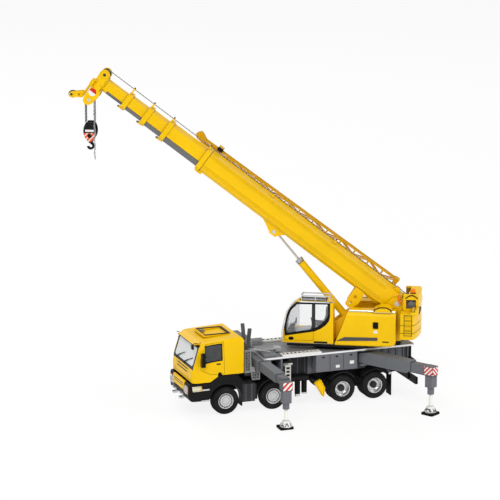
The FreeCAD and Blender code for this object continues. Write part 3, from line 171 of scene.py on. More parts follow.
class Paint:
    """A material whose shader nodes are added by calls."""

    def __init__(self, name, roughness=0.4, metallic=0.0, coat=0.0, shine=0.12):
        self.material = bpy.data.materials.new(name)
        self.material.use_nodes = True
        self.tree = self.material.node_tree
        self.shader = self.tree.nodes["Principled BSDF"]
        self.shader.inputs["Roughness"].default_value = roughness
        self.shader.inputs["Metallic"].default_value = metallic
        self.shader.inputs["Coat Weight"].default_value = coat
        self.shader.inputs["Coat Roughness"].default_value = 0.12
        self.shader.inputs["Specular IOR Level"].default_value = shine

    def add(self, kind, settings=(), inputs=(), output=0):
        node = self.tree.nodes.new(kind)
        for key, value in dict(settings).items():
            if key == "stops":
                stops = node.color_ramp.elements
                for index, (where, shade) in enumerate(value):
                    stop = stops[index] if index < len(stops) else stops.new(where)
                    stop.position = where
                    stop.color = (*shade, 1) if isinstance(shade, tuple) else (shade, shade, shade, 1)
            else:
                setattr(node, key, value)
        for key, value in (inputs.items() if isinstance(inputs, dict) else enumerate(inputs)):
            if isinstance(value, Wire):
                self.tree.links.new(value.socket, node.inputs[key])
            else:
                node.inputs[key].default_value = value
        return Wire(self, node.outputs[output])

    def where(self):
        return self.add("ShaderNodeTexCoord", output="Object")

    def local(self, place):
        """The point's three coordinates in one of the toy's frames, in millimetres."""
        point = self.where()
        return [self.add("ShaderNodeVectorMath", {"operation": "DOT_PRODUCT"}, (point, tuple(axis * 1000)),
                         "Value")
                - place.origin.dot(axis) * 1000 for axis in place.axes]

    def noise(self, grain, detail=3.0):
        return self.add("ShaderNodeTexNoise", inputs={"Vector": self.where(), "Scale": 1000 / grain,
                                                      "Detail": detail},
                        output="Fac")

    def blend(self, factor, first, second):
        """Colour first where factor is 0, second where it is 1."""
        first, second = [(*c, 1) if isinstance(c, tuple) and len(c) == 3 else c for c in (first, second)]
        return self.add("ShaderNodeMix", {"data_type": "RGBA"}, {0: factor, 6: first, 7: second}, 2)

    def ramp(self, value, *stops):
        return self.add("ShaderNodeValToRGB", {"stops": stops}, (value,))

    def bump(self, height, depth):
        """Raises the surface by the height wire, to depth millimetres."""
        normal = self.add("ShaderNodeBump", inputs={"Strength": BUMP_STRENGTH, "Distance": depth * 0.001,
                                                    "Height": height})
        self.feed("Normal", normal)

    def length_of(self, first, second):
        """Length of the two measures taken at right angles."""
        total = first * first + second * second
        return total.math("SQRT", total)

    def wave(self, value):
        """A wave from 0 to 1."""
        return value.math("SINE", value) * 0.5 + 0.5

    def painted_corner_shade(self, reach):
        """1 in the open and less in corners and gaps, where it paints shade into the colour."""
        return self.add("ShaderNodeAmbientOcclusion", {"samples": 6}, {"Distance": reach * 0.001}, "AO")

    def feed(self, socket, value):
        if isinstance(value, Wire):
            self.tree.links.new(value.socket, self.shader.inputs[socket])
        else:
            value = (*value, 1) if isinstance(value, tuple) and len(value) == 3 else value
            self.shader.inputs[socket].default_value = value


def floor_paint():
    paint = Paint("paper_floor", roughness=0.9)
    paint.feed("Base Color", paint.blend(paint.noise(90, 2), (0.95, 0.95, 0.95), (0.97, 0.97, 0.97)))
    glow = paint.tree.nodes.new("ShaderNodeEmission")
    glow.inputs["Color"].default_value = (1, 1, 1, 1)
    seen = (paint.add("ShaderNodeLightPath", output="Is Camera Ray")
            + paint.add("ShaderNodeLightPath", output="Is Glossy Ray")
            + paint.add("ShaderNodeLightPath", output="Is Transmission Ray")) * 0.86
    mixed = paint.tree.nodes.new("ShaderNodeMixShader")
    paint.tree.links.new(seen.socket, mixed.inputs[0])
    paint.tree.links.new(paint.shader.outputs[0], mixed.inputs[1])
    paint.tree.links.new(glow.outputs[0], mixed.inputs[2])
    paint.tree.links.new(mixed.outputs[0], paint.tree.nodes["Material Output"].inputs[0])
    return paint


sheet = bmesh.new()
bmesh.ops.create_grid(sheet, x_segments=8, y_segments=8, size=14)
sheet_mesh = bpy.data.meshes.new("paper_floor")
sheet.to_mesh(sheet_mesh)
paper = bpy.data.objects.new("paper_floor", sheet_mesh)
paper.location.z = -0.0002
paper.data.materials.append(floor_paint().material)
bpy.context.scene.collection.objects.link(paper)

world = bpy.data.worlds.new("studio")
world.use_nodes = True
world.node_tree.nodes["Background"].inputs["Color"].default_value = (1, 1, 1, 1)
world.node_tree.nodes["Background"].inputs["Strength"].default_value = 0.55
bpy.context.scene.world = world

# ---- wheels -------------------------------------------------------------------------------------
# Black tyres with a grooved tread and lugs turn on bright plated rims. The front wheels have a flat
# disc with a ring of studs before a dark well, the rear pairs a deep dish with a dark hub.
SIDES = ((1, "left"), (-1, "right"))
MESH_STEPS = 48
LUGS = 40
HEIGHT = spot("rear_axle_spin_3").z * 1000
SINGLE_WIDTH, TWIN_WIDTH, TWIN_GAP, TWIN_OUT = 7.7, 6.2, 7.0, 13.2


class Shape:
    """A mesh being built in one frame of the toy, in millimetres."""

    def __init__(self, place):
        self.place = place
        self.mesh = bmesh.new()

    def put(self, x, y, z):
        return self.mesh.verts.new(self.place.at(x, y, z))

    def skin(self, rings, closed=True, caps=True):
        """Faces between rings of vertices, with the ends filled."""
        count = len(rings[0])
        for first, second in zip(rings, rings[1:]):
            for index in range(count if closed else count - 1):
                after = (index + 1) % count
                self.mesh.faces.new((first[index], first[after], second[after], second[index]))
        if caps:
            self.mesh.faces.new(rings[0])
            self.mesh.faces.new(rings[-1])
        return self

    def block(self, x, y, z, lean=(0, 0)):
        """A box between the ends given for each axis; lean moves its top along x and y."""
        rings = [[self.put(a + lean[0] * top, b + lean[1] * top, z[top])
                  for a, b in ((x[0], y[0]), (x[1], y[0]), (x[1], y[1]), (x[0], y[1]))] for top in (0, 1)]
        return self.skin(rings)

    def prism(self, axis, low, high, outline):
        """A flat plate with that outline on the other two axes."""
        rings = []
        for level in (low, high):
            points = []
            for u, v in outline:
                points.append(self.put(*{"x": (level, u, v), "y": (u, level, v), "z": (u, v, level)}[axis]))
            rings.append(points)
        return self.skin(rings)

    def lathe(self, axis, centre, profile, steps=MESH_STEPS):
        """A piece turned about an axis through centre; the profile is (radius, place along)."""
        rings = []
        for index in range(steps):
            angle = 2 * math.pi * index / steps
            cos, sin = math.cos(angle), math.sin(angle)
            line = []
            for radius, along in profile:
                offset = {"x": (along, radius * cos, radius * sin), "y": (radius * cos, along, radius * sin),
                          "z": (radius * cos, radius * sin, along)}[axis]
                line.append(self.put(*(c + o for c, o in zip(centre, offset))))
            rings.append(line)
        return self.skin(rings + rings[:1], closed=False, caps=False)

    def cord(self, points, radius, steps=8):
        """A round wire along points."""
        points = [Vector(point) for point in points]
        rings = []
        side = None
        for index, point in enumerate(points):
            ahead = (points[min(index + 1, len(points) - 1)] - points[max(index - 1, 0)]).normalized()
            side = (side or ahead.orthogonal()) - ahead * (side or ahead.orthogonal()).dot(ahead)
            side.normalize()
            other = ahead.cross(side)
            rings.append([self.put(*(point + side * (radius * math.cos(math.tau * step / steps))
                                     + other * (radius * math.sin(math.tau * step / steps))))
                          for step in range(steps)])
        return self.skin(rings)

    def done(self, name, body, paint, slot, round_off=0.0, angle=35, replaces=()):
        """Makes the object with its finish. It rides on a body if one is given."""
        bmesh.ops.remove_doubles(self.mesh, verts=self.mesh.verts, dist=1e-7)
        bmesh.ops.recalc_face_normals(self.mesh, faces=self.mesh.faces)
        data = bpy.data.meshes.new(name)
        self.mesh.to_mesh(data)
        self.mesh.free()
        thing = bpy.data.objects.new(name, data)
        bpy.context.scene.collection.objects.link(thing)
        data.materials.append(paint.material)
        if round_off:
            bevel = thing.modifiers.new("rounded_edges", "BEVEL")
            bevel.width = round_off * 0.001
            bevel.segments = 2
            bevel.limit_method = "ANGLE"
            bevel.angle_limit = math.radians(40)
            bevel.harden_normals = True
        data.polygons.foreach_set("use_smooth", [True] * len(data.polygons))
        data.set_sharp_from_angle(angle=math.radians(angle))
        if body:
            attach(thing, body)
        if replaces:
            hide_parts(*replaces)
        return thing


def rubber(name, shade=0.012):
    paint = Paint(name, roughness=0.72)
    dust = paint.ramp(paint.noise(6, 5), (0.35, shade * 0.8), (0.75, shade * 1.9))
    # Painted shade: the rubber turns near black in corners and gaps.
    paint.feed("Base Color", paint.blend(paint.painted_corner_shade(1.2), (0.006, 0.006, 0.006), dust))
    paint.feed("Roughness", 0.62 + paint.noise(1.5, 4) * 0.25)
    paint.bump(paint.noise(0.35, 2), 0.04)
    return paint


def plated(name, tint=(0.72, 0.73, 0.75), rough=0.28):
    paint = Paint(name, metallic=0.85)
    # Painted shade: the plating darkens to a quarter of its tint in corners and gaps.
    paint.feed("Base Color", paint.blend(paint.painted_corner_shade(1.4), tuple(c * 0.25 for c in tint),
                                         paint.blend(paint.noise(2.5, 4), tuple(c * 0.92 for c in tint),
                                                     tint)))
    paint.feed("Roughness", rough + paint.noise(0.8, 3) * 0.12)
    paint.bump(paint.noise(0.5, 2), 0.01)
    return paint


tyre_black = rubber("tyre_rubber")
rim_plate = plated("rim_plating", (0.9, 0.9, 0.91), 0.22)
rim_matt = Paint("rim_disc_lacquer", roughness=0.4, metallic=0.2)
# Painted shade: the disc lacquer turns dark grey in corners and gaps.
rim_matt.feed("Base Color", rim_matt.blend(rim_matt.painted_corner_shade(0.9), (0.2, 0.2, 0.21), rim_matt.blend(
    rim_matt.noise(3, 3), (0.56, 0.57, 0.58), (0.64, 0.65, 0.66))))
rim_matt.feed("Roughness", 0.35 + rim_matt.noise(1, 3) * 0.15)
rim_matt.bump(rim_matt.noise(0.5, 2), 0.01)
hub_dark = rubber("hub_dark_paint", 0.03)


def tyre(x, side, inner, outer):
    """Tyre as one turned skin, with rounded shoulders, a bead and rings in its side walls."""
    shape = Shape(TRUCK)
    radius = HEIGHT - 0.02
    wall = [(6.2, outer - 0.35), (6.7, outer - 0.02), (7.1, outer), (7.3, outer - 0.12), (8.4, outer - 0.02),
            (8.7, outer - 0.16), (9.3, outer - 0.12), (9.9, outer - 0.5), (10.35, outer - 1.15)]
    back = [(r, inner + (outer - along)) for r, along in reversed(wall)]
    grooves = []
    width = (outer - 1.3) - (inner + 1.3)
    for index in range(4):
        place = outer - 1.3 - width * (index + 0.5) / 4
        grooves += [(radius, place + width / 11), (radius - 0.45, place + width / 14),
                    (radius - 0.45, place - width / 14), (radius, place - width / 11)]
    line = wall + [(radius, outer - 1.5)] + grooves + [(radius, inner + 1.5)] + back
    shape.lathe("y", (x, 0, HEIGHT), [(r, along * side) for r, along in line])
    middle = (inner + outer) / 2

    def leaning_out(edge, depth):
        """Whether a lug's end is the one at the shoulder, which is cut lower."""
        return abs(depth) > 0.5 and depth * (edge - middle) > 0

    for index in range(LUGS):
        angle = math.tau * index / LUGS
        for edge, reach in ((outer - 0.75, 0.55), (inner + 0.75, 0.55)):
            rings = []
            for depth in (-reach, reach):
                ring = []
                for spread, rise in ((-0.022, -0.35), (0.022, -0.35), (0.022, 0.0), (-0.022, 0.0)):
                    r = radius - 0.1 + rise - (0.25 if leaning_out(edge, depth) else 0)
                    ring.append(shape.put(x + r * math.cos(angle + spread), (edge + depth) * side,
                                          HEIGHT + r * math.sin(angle + spread)))
                rings.append(ring)
            shape.skin(rings)
    return shape


def turned(shape, x, side, face, profile):
    """Turns a profile about the axle; its places along are counted outwards from the wheel's face."""
    return shape.lathe("y", (x, 0, HEIGHT), [(radius, (face + out) * side) for radius, out in profile])


def stud_ring(shape, x, along, radius, count, size, depth, side):
    """A ring of small raised studs on a wheel disc."""
    for index in range(count):
        angle = math.tau * index / count
        centre = (x + radius * math.cos(angle), along * side, HEIGHT + radius * math.sin(angle))
        shape.lathe("y", centre, [(0.001, depth * side), (size * 0.8, depth * side),
                                  (size, depth * 0.6 * side), (size, 0)], 8)


for number in (1, 2):
    for side, name in SIDES:
        x, body = AXLE_X[number], f"wheel_{number}_{name}"
        cad = f"front_wheel_{number}_{name}"
        face = (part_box(cad)[1][1] - ring.y) * 1000 if side > 0 else (ring.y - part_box(cad)[0][1]) * 1000
        tyre(x, side, face - SINGLE_WIDTH, face).done(
            f"tyre_{number}_{name}", body, tyre_black, "tyre_rubber", angle=50, replaces=(cad,))
        rim = turned(Shape(TRUCK), x, side, face, (
            (6.25, -0.5), (6.0, 0.0), (5.75, 0.05), (5.55, -0.15), (5.45, -0.55), (5.1, -0.7)))
        turned(rim, x, side, face, ((6.2, -6.9), (6.2, -0.5)))
        rim.done(f"rim_{number}_{name}", body, rim_plate, "silver")
        disc = turned(Shape(TRUCK), x, side, face, (
            (4.55, -1.3), (4.5, -0.35), (4.2, -0.2), (2.9, -0.28), (2.75, -0.45), (2.6, -0.25),
            (1.7, 0.0), (1.5, 0.02), (0.001, 0.05)))
        stud_ring(disc, x, face - 0.3, 3.55, 10, 0.28, 0.22, side)
        disc.done(f"wheel_disc_{number}_{name}", body, rim_matt, "silver")
        well = turned(Shape(TRUCK), x, side, face, (
            (5.2, -0.8), (5.1, -1.6), (1.6, -1.7), (1.6, -6.6), (6.1, -6.8)))
        for index in range(16):
            angle = math.tau * (index + 0.5) / 16
            spokes = [(x + r * math.cos(angle + w), HEIGHT + r * math.sin(angle + w))
                      for r, w in ((4.4, -0.07), (5.3, -0.055), (5.3, 0.055), (4.4, 0.07))]
            rings = [[well.put(u, a * side, v) for u, v in spokes] for a in (face - 1.2, face - 0.5)]
            well.skin(rings)
        well.done(f"wheel_well_{number}_{name}", body, hub_dark, "dark_grey")

for number in (3, 4):
    x, body, cad = AXLE_X[number], f"rear_axle_{number}", f"rear_wheels_{number}"
    face = (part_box(cad)[1][1] - ring.y) * 1000
    for side, name in SIDES:
        tyre(x, side, face - TWIN_WIDTH, face).done(
            f"outer_tyre_{number}_{name}", body, tyre_black, "tyre_rubber", angle=50, replaces=(cad,))
        tyre(x, side, face - TWIN_OUT, face - TWIN_GAP).done(
            f"inner_tyre_{number}_{name}", body, tyre_black, "tyre_rubber", angle=50, replaces=(cad,))
        rim = turned(Shape(TRUCK), x, side, face, (
            (6.25, -0.5), (6.0, 0.0), (5.75, 0.05), (5.55, -0.2), (5.3, -1.4), (4.9, -3.4),
            (4.3, -3.9), (2.5, -3.9)))
        stud_ring(rim, x, face - 3.9, 3.5, 10, 0.34, 0.45, side)
        rim.done(f"dish_{number}_{name}", body, rim_plate, "silver")
        hub = turned(Shape(TRUCK), x, side, face, (
            (2.7, -3.95), (2.6, -2.4), (2.2, -2.1), (1.7, -2.0), (1.6, -1.3),
            (1.2, -1.1), (0.001, -1.1)))
        stud_ring(hub, x, face - 2.15, 2.0, 8, 0.22, 0.25, side)
        hub.done(f"hub_{number}_{name}", body, hub_dark, "dark_grey")
        barrel = Shape(TRUCK).lathe("y", (x, 0, HEIGHT), [(r, a * side) for r, a in (
            (6.15, face - 0.6), (6.15, face - 13.0), (1.5, face - 13.1), (1.5, 0.0))])
        barrel.done(f"rim_barrel_{number}_{name}", body, hub_dark, "dark_grey")

# ---- chassis and front axles ----------------------------------------------------------------------
# Two dark painted frame rails carry a grey welded subframe with upright ribs at its rear. The front
# wheels hang on steering knuckles, and a black plate closes the back.
CHARCOAL = (0.009, 0.009, 0.01)
BLACK = (0.003, 0.003, 0.0035)
FRAME_GREY = (0.155, 0.158, 0.175)
MID_GREY = (0.09, 0.092, 0.1)
SILVER = (0.62, 0.63, 0.65)
WHITE = (0.78, 0.78, 0.76)
YELLOW = (0.9, 0.545, 0.0005)
COAT_SHARE = 0.12


def coat(paint, *nodes):
    """Gives carried-over pieces their finish."""
    for name in nodes:
        thing = frame["nodes"][name]
        if not thing.material_slots:
            thing.data.materials.append(paint.material)
        for slot in thing.material_slots:
            slot.material = paint.material


def edge_distance(u, v, corners):
    """Distance outside a convex outline, given anticlockwise; it is below 0 inside."""
    worst = None
    for (u0, v0), (u1, v1) in zip(corners, corners[1:] + corners[:1]):
        length = math.hypot(u1 - u0, v1 - v0)
        out_u, out_v = (v1 - v0) / length, (u0 - u1) / length
        distance = u * out_u + v * out_v - (u0 * out_u + v0 * out_v)
        worst = distance if worst is None else worst.either(distance)
    return worst


def oblong(u, v, us, vs):
    return edge_distance(u, v, [(us[0], vs[0]), (us[1], vs[0]), (us[1], vs[1]), (us[0], vs[1])])


def patch(u, v, us, vs):
    """1 inside a rectangle."""
    return oblong(u, v, us, vs) < 0


def line(distance, width=0.3):
    """1 along the edge of an outline."""
    return abs(distance) < width / 2


def finish(name, place, shade, marks=None, rough=0.35, metal=0.0, coat_weight=0.0, grain=0.012, dark=0.35):
    """Paint or plating with marks: (mask, colour) or (mask, colour, roughness, metallic)."""
    paint = Paint(name, roughness=rough, metallic=metal, coat=coat_weight * COAT_SHARE)
    x, y, z = paint.local(place)
    tone = paint.blend(paint.ramp(paint.noise(22, 3), (0.35, 0.0), (0.7, 1.0)),
                       tuple(c * 0.93 for c in shade), shade)
    speck = paint.noise(1.1, 2)
    roughness = rough + speck * 0.08
    metallic = None
    for mark in (marks(paint, x, y, z) if marks else ()):
        mask, colour = mark[:2]
        tone = paint.blend(mask, tone, colour)
        if len(mark) > 2:
            roughness = roughness + mask * (mark[2] - rough)
        if len(mark) > 3:
            metallic = mask * (mark[3] - metal) + (metal if metallic is None else metallic)
    # Painted shade: in corners and gaps the colour is multiplied by dark.
    shaded = paint.add("ShaderNodeVectorMath", {"operation": "MULTIPLY"}, (tone, (dark, dark, dark)))
    paint.feed("Base Color", paint.blend(paint.painted_corner_shade(1.3), shaded, tone))
    paint.feed("Roughness", roughness)
    if metallic is not None:
        paint.feed("Metallic", metallic)
    paint.bump(paint.noise(0.7, 3), grain)
    return paint


def chassis_marks(paint, x, y, z):
    grey_zone = (z > 22.25) * (x < 52) * (x > -57.2) * (abs(y) < 25.5)
    ribs = grey_zone * (abs(y) > 12)
    return [(grey_zone, FRAME_GREY, 0.42), (grey_zone * (x > 27) * (z < 40.4), (0.03, 0.031, 0.034), 0.5),
            (ribs * (abs((x + 0.7) % 6 - 3) > 2.6), MID_GREY, 0.5), ((x < -56.9), BLACK, 0.5)]


coat(finish("chassis_paint", TRUCK, CHARCOAL, chassis_marks, rough=0.5), "chassis")
coat(finish("axle_paint", TRUCK, CHARCOAL, rough=0.5), *[f"steering_knuckle_{n}_{s}" for n in (1, 2)
                                                          for s in ("left", "right")])

# ---- driver's cab ---------------------------------------------------------------------------------
# A moulded yellow cab with a black rubber surround round its deep windscreen, slotted grille lines,
# door seams, a roof hatch, and mirrors on black arms. The side glass is dark and the inside dark
# grey. The windscreen is painted pale and nearly opaque as a painted reflection.
SIDE_WINDOW = [(101, 43.5), (116.7, 42.2), (116.1, 54.7), (101, 55.5)]


def cab_marks(paint, x, y, z):
    x = x - NOSE * (x > 110)
    side = abs(y) > 21.5
    inside = (abs(y) < 22) * (x < 119.8) * (x > 83.9) * ((z + x * 0.068) < 63.8) * (z > 31.8)
    screen = edge_distance(y, z, [(-23.4, 37.2), (23.4, 37.2), (22.6, 55.6), (-22.6, 55.6)])
    surround = (screen < 0) * (x > 112) * (abs(y) < 23)
    window = edge_distance(x, z, SIDE_WINDOW)
    gasket = (window < 0.7) * side * (x < 119)
    door = edge_distance(x, z, [(99.2, 32.6), (112, 32.6), (120.4, 36.6), (120.8, 44), (116.4, 56.4),
                                (99.2, 57.2)])
    seams = line(door, 0.3) * side
    handle = patch(x, z, (102, 105.4), (39.9, 41)) * side
    front = (x > 121) * (abs(y) < 12)
    slots = front * ((abs(z - 35.6) < 0.42).either(abs(z - 33.4) < 0.42))
    lower_lines = (x > 124) * (abs(y) < 22) * z.between(29.2, 29.5)
    wing_lines = (x > 119) * abs(y).between(14.2, 14.5) * z.between(27, 37.6)
    hatch = (z > 59.55) * x.between(88, 112) * (abs(y) < 14.2)
    mirrors = (abs(y) > 24.7) * (x > 112)
    mirror_glass = mirrors * (x < 116.2) * (abs(y) > 26.2) * z.between(40.8, 52.8)
    visor = (x > 119.4) * (abs(y) < 19.3) * z.between(54.2, 55.1)
    step_notch = (edge_distance(x, z, [(100.4, 31), (104.6, 31), (103.8, 34), (101.8, 33.8)]) < 0) * side
    return [(inside, (0.05, 0.052, 0.056), 0.6), (surround, BLACK, 0.3), (gasket, BLACK, 0.4),
            (seams, (0.16, 0.08, 0.002), 0.6), (handle, BLACK, 0.4), (slots, BLACK, 0.5),
            (lower_lines.either(wing_lines), (0.2, 0.1, 0.002), 0.5), (hatch, BLACK, 0.4),
            (mirrors, BLACK, 0.35), (mirror_glass, SILVER, 0.1, 1.0), (visor, BLACK, 0.35),
            (step_notch, BLACK, 0.6)]


cab_paint = finish("cab_enamel", TRUCK, YELLOW, cab_marks, rough=0.26, coat_weight=0.5, grain=0.006)
coat(cab_paint, "truck_cab")
front_mirror = Shape(TRUCK).cord([(119.5, 20.6, 57.2), (122.6, 21.2, 57.4), (124.2, 21.6, 56.2)], 0.35)
front_mirror.block((123.2, 124.6), (20.2, 23.4), (53.4, 56.6))
front_mirror.cord([(119.9, -20.6, 56.4), (121.9, -21.2, 56.2)], 0.3)
front_mirror.done("front_mirror", "truck", finish("mirror_plastic", TRUCK, BLACK, rough=0.35), "dark_grey",
                  round_off=0.2)


def pane(name, tint=(0.55, 0.6, 0.62), alpha=0.22, place=TRUCK, marks=None):
    """Clear moulded glazing; marks(x, y, z) gives masks with their colour and cover."""
    paint = Paint(name, roughness=0.04, shine=0.5)
    smear = paint.noise(18, 3)
    tone = paint.blend(smear, tuple(c * 0.9 for c in tint), tint)
    cover = alpha + smear * 0.06
    x, y, z = paint.local(place)
    for mask, colour, share in (marks(x, y, z) if marks else ()):
        tone = paint.blend(mask, tone, colour)
        cover = cover + mask * (share - alpha)
    paint.feed("Base Color", tone)
    paint.feed("Alpha", cover)
    paint.feed("Roughness", 0.03 + smear * 0.05)
    return paint


# Painted reflection: the windscreen is pale and nearly opaque, while the side glass stays dark.
coat(pane("cab_glazing", (0.12, 0.13, 0.13), 0.3, TRUCK, lambda x, y, z: [
    ((abs(y) < 21.6) * (x > 108), (0.86, 0.88, 0.88), 0.74)]), "cab_glass")
black_trim = finish("black_trim", TRUCK, BLACK, rough=0.38, grain=0.02)
grey_trim = finish("grey_trim", TRUCK, (0.17, 0.175, 0.18), rough=0.5, grain=0.02)


def windscreen_point(y, z, proud=0.25):
    """A point just in front of the windscreen."""
    lean = 126.6 + NOSE - (z - 38.5) * 0.3125
    bulge = 0.0016 * y * y if abs(y) < 15 else 0.36 + (abs(y) - 15) ** 2 * 0.03
    return (lean + proud - bulge, y, z)


for index, start in enumerate((-13.5, 4.5)):
    blade = Shape(TRUCK)
    sweep = [windscreen_point(start + step * 1.6, 40.2 + step * 0.62, 0.45) for step in range(9)]
    blade.cord(sweep, 0.32, 6)
    blade.cord([windscreen_point(start - 1, 38.9, 0.35), windscreen_point(start + 2.6, 40.6, 0.75),
                windscreen_point(start + 6.4, 42.7, 0.6)], 0.25, 6)
    blade.lathe("x", windscreen_point(start - 1, 38.9, 0.1), [(0.8, 0), (0.8, 0.5), (0.4, 0.8),
                                                              (0.001, 0.8)], 12)
    blade.done(f"wiper_{index + 1}", "truck", black_trim, "dark_grey")

hatch_panel = Shape(TRUCK).block((104.6, 108.2), (-8.5, -5), (58.9, 59.9))
hatch_panel.done("hatch_lock", "truck", grey_trim, "dark_grey", round_off=0.3)

# ---- front bumper ---------------------------------------------------------------------------------
# A moulded charcoal bumper with round head lamps beside amber indicators, bright step edges, two
# plated towing jaws and black lines over a low grille.


def bumper_marks(paint, x, y, z):
    x = x - NOSE
    lamp_zone = (x > 124.6) * abs(y).between(11.9, 21.1) * z.between(17.7, 23.7)
    amber = lamp_zone * (abs(y) > 19.6)
    steps = (abs(y) > 24.55)
    jaws = (x > 128.4) * (abs(y) < 9.9) * (abs(y) > 6.1) * (z < 17.5)
    split = (abs(z - 19) < 0.15) * (abs(y) < 24.5) * (x > 122)
    grille = (x > 126) * (abs(y) < 5.4) * z.between(20, 24.6) * ((z % 1.2) < 0.45)
    return [(split, BLACK, 0.6), (lamp_zone, (0.5, 0.51, 0.52), 0.12, 0.9),
            (amber, (0.8, 0.2, 0.01), 0.15, 0.0), (steps, SILVER, 0.3, 0.9), (jaws, SILVER, 0.25, 0.95),
            (grille, BLACK, 0.6)]


coat(finish("bumper_plastic", TRUCK, CHARCOAL, bumper_marks, rough=0.45, grain=0.03), "front_bumper")
LAMP_X, LAMP_Y, LAMP_Z = 130.5, 17.6, 20.5
lamp_glass = pane("lamp_lens", (0.8, 0.82, 0.84), 0.45)
for side, name in SIDES:
    lens_cover = Shape(TRUCK).lathe("x", (LAMP_X + NOSE, LAMP_Y * side, LAMP_Z),
                                    [(2.3, -0.6), (2.3, -0.1), (1.6, 0.25), (0.8, 0.4), (0.001, 0.45)], 24)
    lens_cover.done(f"lamp_lens_{name}", "truck", lamp_glass, "window")
    bezel = Shape(TRUCK).lathe("x", (LAMP_X + NOSE, LAMP_Y * side, LAMP_Z),
                               [(2.3, -0.4), (2.35, 0.1), (2.7, 0.15), (2.8, -0.6)], 24)
    bezel.done(f"lamp_bezel_{name}", "truck", rim_plate, "silver")

# ---- front panel ----------------------------------------------------------------------------------
# A yellow panel reaches down between the lamps. It bows forwards in the middle, and two black air
# slots run across it.
panel = Shape(TRUCK)
outline = [(-13, 26.4), (-12.4, 20.8), (-11, 19.4), (11, 19.4), (12.4, 20.8), (13, 26.4)]
fronts = [[panel.put(130.9 + NOSE - abs(v - 21.5) * 0.1 + push - 0.0012 * u * u, u, v) for u, v in outline]
          for push in (-1.6, 0.0)]
panel.skin(fronts)
panel.done("front_panel", "truck", finish("front_panel_enamel", TRUCK, YELLOW, lambda paint, x, y, z: [
    ((abs(y) < 10.4) * (abs(z - 24.2) < 0.3), BLACK, 0.5),
    ((abs(y) < 10.4) * (abs(z - 22.6) < 0.3), BLACK, 0.5)],
    rough=0.26), "yellow_plastic", round_off=0.25)

# ---- corner lamps ---------------------------------------------------------------------------------
# A wrapped lamp sits on each front corner of the bumper. Its pale lens has an amber end and is
# crossed by two dark lines.
bumper_half = (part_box("front_bumper")[1].y - ring.y) * 1000
corner_lens = finish("corner_lamp_lens", TRUCK, (0.72, 0.7, 0.5), lambda paint, x, y, z: [
    ((x - NOSE) < 121.2, (0.85, 0.42, 0.02), 0.15),
    (line(abs(z - 22.6) - 1.2, 0.3), (0.25, 0.24, 0.2), 0.3)], rough=0.12)
for side, name in SIDES:
    corner = Shape(TRUCK)
    ends = sorted(((bumper_half - 0.5) * side, (bumper_half + 0.3) * side))
    corner.block((119.6 + NOSE, 127.4 + NOSE), ends, (20.6, 24.6), lean=(0.5, -0.3 * side))
    corner.done(f"corner_lamp_{name}", "truck", corner_lens, "silver", round_off=0.35)

# ---- fenders --------------------------------------------------------------------------------------
# Dark moulded mudguards arch over every wheel. A black rubber flap hangs behind the last pair from a
# bright strip, and a plain tank sits behind the cab.


def fender_marks(paint, x, y, z):
    flap = (x < AXLE_X[4] - 12.4) * (z < 18.5)
    strip = (x < AXLE_X[4] - 11) * z.between(18.5, 20.4)
    tank = x.between(74, 84.6) * z.between(8.4, 22.6)
    straps = tank * ((abs(x - 77) < 0.5).either(abs(x - 81.8) < 0.5)) * (abs(y) > 24.2)
    ridge = (abs(y) > 24.2) * (abs(z - 26.2) < 0.14) * (x > 84)
    return [(flap, BLACK, 0.65), (strip, SILVER, 0.3, 0.9), (tank, (0.035, 0.036, 0.04), 0.35),
            (straps, (0.09, 0.09, 0.095), 0.35, 0.4), (ridge, BLACK, 0.6)]


coat(finish("fender_plastic", TRUCK, CHARCOAL, fender_marks, rough=0.48, grain=0.03), "fenders")

# ---- boom rest and heat shield --------------------------------------------------------------------
# The forked rest behind the cab is welded plate in grey primer. Beside it stands the exhaust, behind
# a light perforated shield with a diamond pattern.


def shield_marks(paint, x, y, z):
    plate = (abs(y - 20.8) < 0.75)
    row = ((x + z) % 1.3) < 0.42
    other = ((x - z) % 1.3) < 0.42
    holes = plate * row.either(other) * x.between(77.2, 81.2) * z.between(31.6, 47.4)
    lower = plate * row.either(other) * x.between(69.7, 75.4) * z.between(24.8, 30.6)
    pipe = (abs(y - 20.8) > 0.75)
    return [(pipe, (0.06, 0.062, 0.066), 0.45), (holes.either(lower), (0.04, 0.041, 0.044), 0.5)]


coat(finish("rest_primer", TRUCK, (0.09, 0.092, 0.1), rough=0.45), "boom_rest")
coat(finish("shield_plate", TRUCK, (0.34, 0.34, 0.335), shield_marks, rough=0.35, metal=0.4), "heat_shield")

# ---- deck -----------------------------------------------------------------------------------------
# The deck is chequered plate with a bright rolled edge. Slotted planks lie along both sides and low
# lockers stand between the boom rest and the crane.


def deck_marks(paint, x, y, z):
    edge = (z < 41.35) * ((abs(y) > 24.6).either(x > 67.1).either(x < -57.6))
    plank = x.between(19.9, 52.1) * abs(y).between(18.4, 25) * (z > 41.4)
    lockers = (x > 53.5) * (z > 41.5) * (abs(y) < 22.3)
    holes = plank * (((x - 20) % 3.2) < 1.3) * ((abs(abs(y) - 20) < 0.45).either(abs(abs(y) - 23.3) < 0.45))
    lids = lockers * (z > 43) * ((line(oblong(x, y, (57.5, 64.5), (11, 21)), 0.3))
                                 .either(line(oblong(x, y, (57.5, 64.5), (-21, -11)), 0.3)))
    tread = (z > 41.2) * (z < 41.4) * ((((x + y) % 2.2) < 0.4) * (((x - y) % 2.2) < 1.2)).either(
        (((x - y) % 2.2) < 0.4) * (((x + y) % 2.2) < 1.2))
    return [(tread, (0.38, 0.385, 0.4), 0.3, 0.4), (edge, (0.85, 0.85, 0.86), 0.22, 0.6),
            (plank, (0.8, 0.8, 0.8), 0.35, 0.1), (holes, CHARCOAL, 0.5),
            (lockers, (0.2, 0.205, 0.22), 0.45, 0.0), (lids, BLACK, 0.5)]


coat(finish("deck_plate", TRUCK, (0.22, 0.225, 0.235), deck_marks, rough=0.38, metal=0.3), "deck")

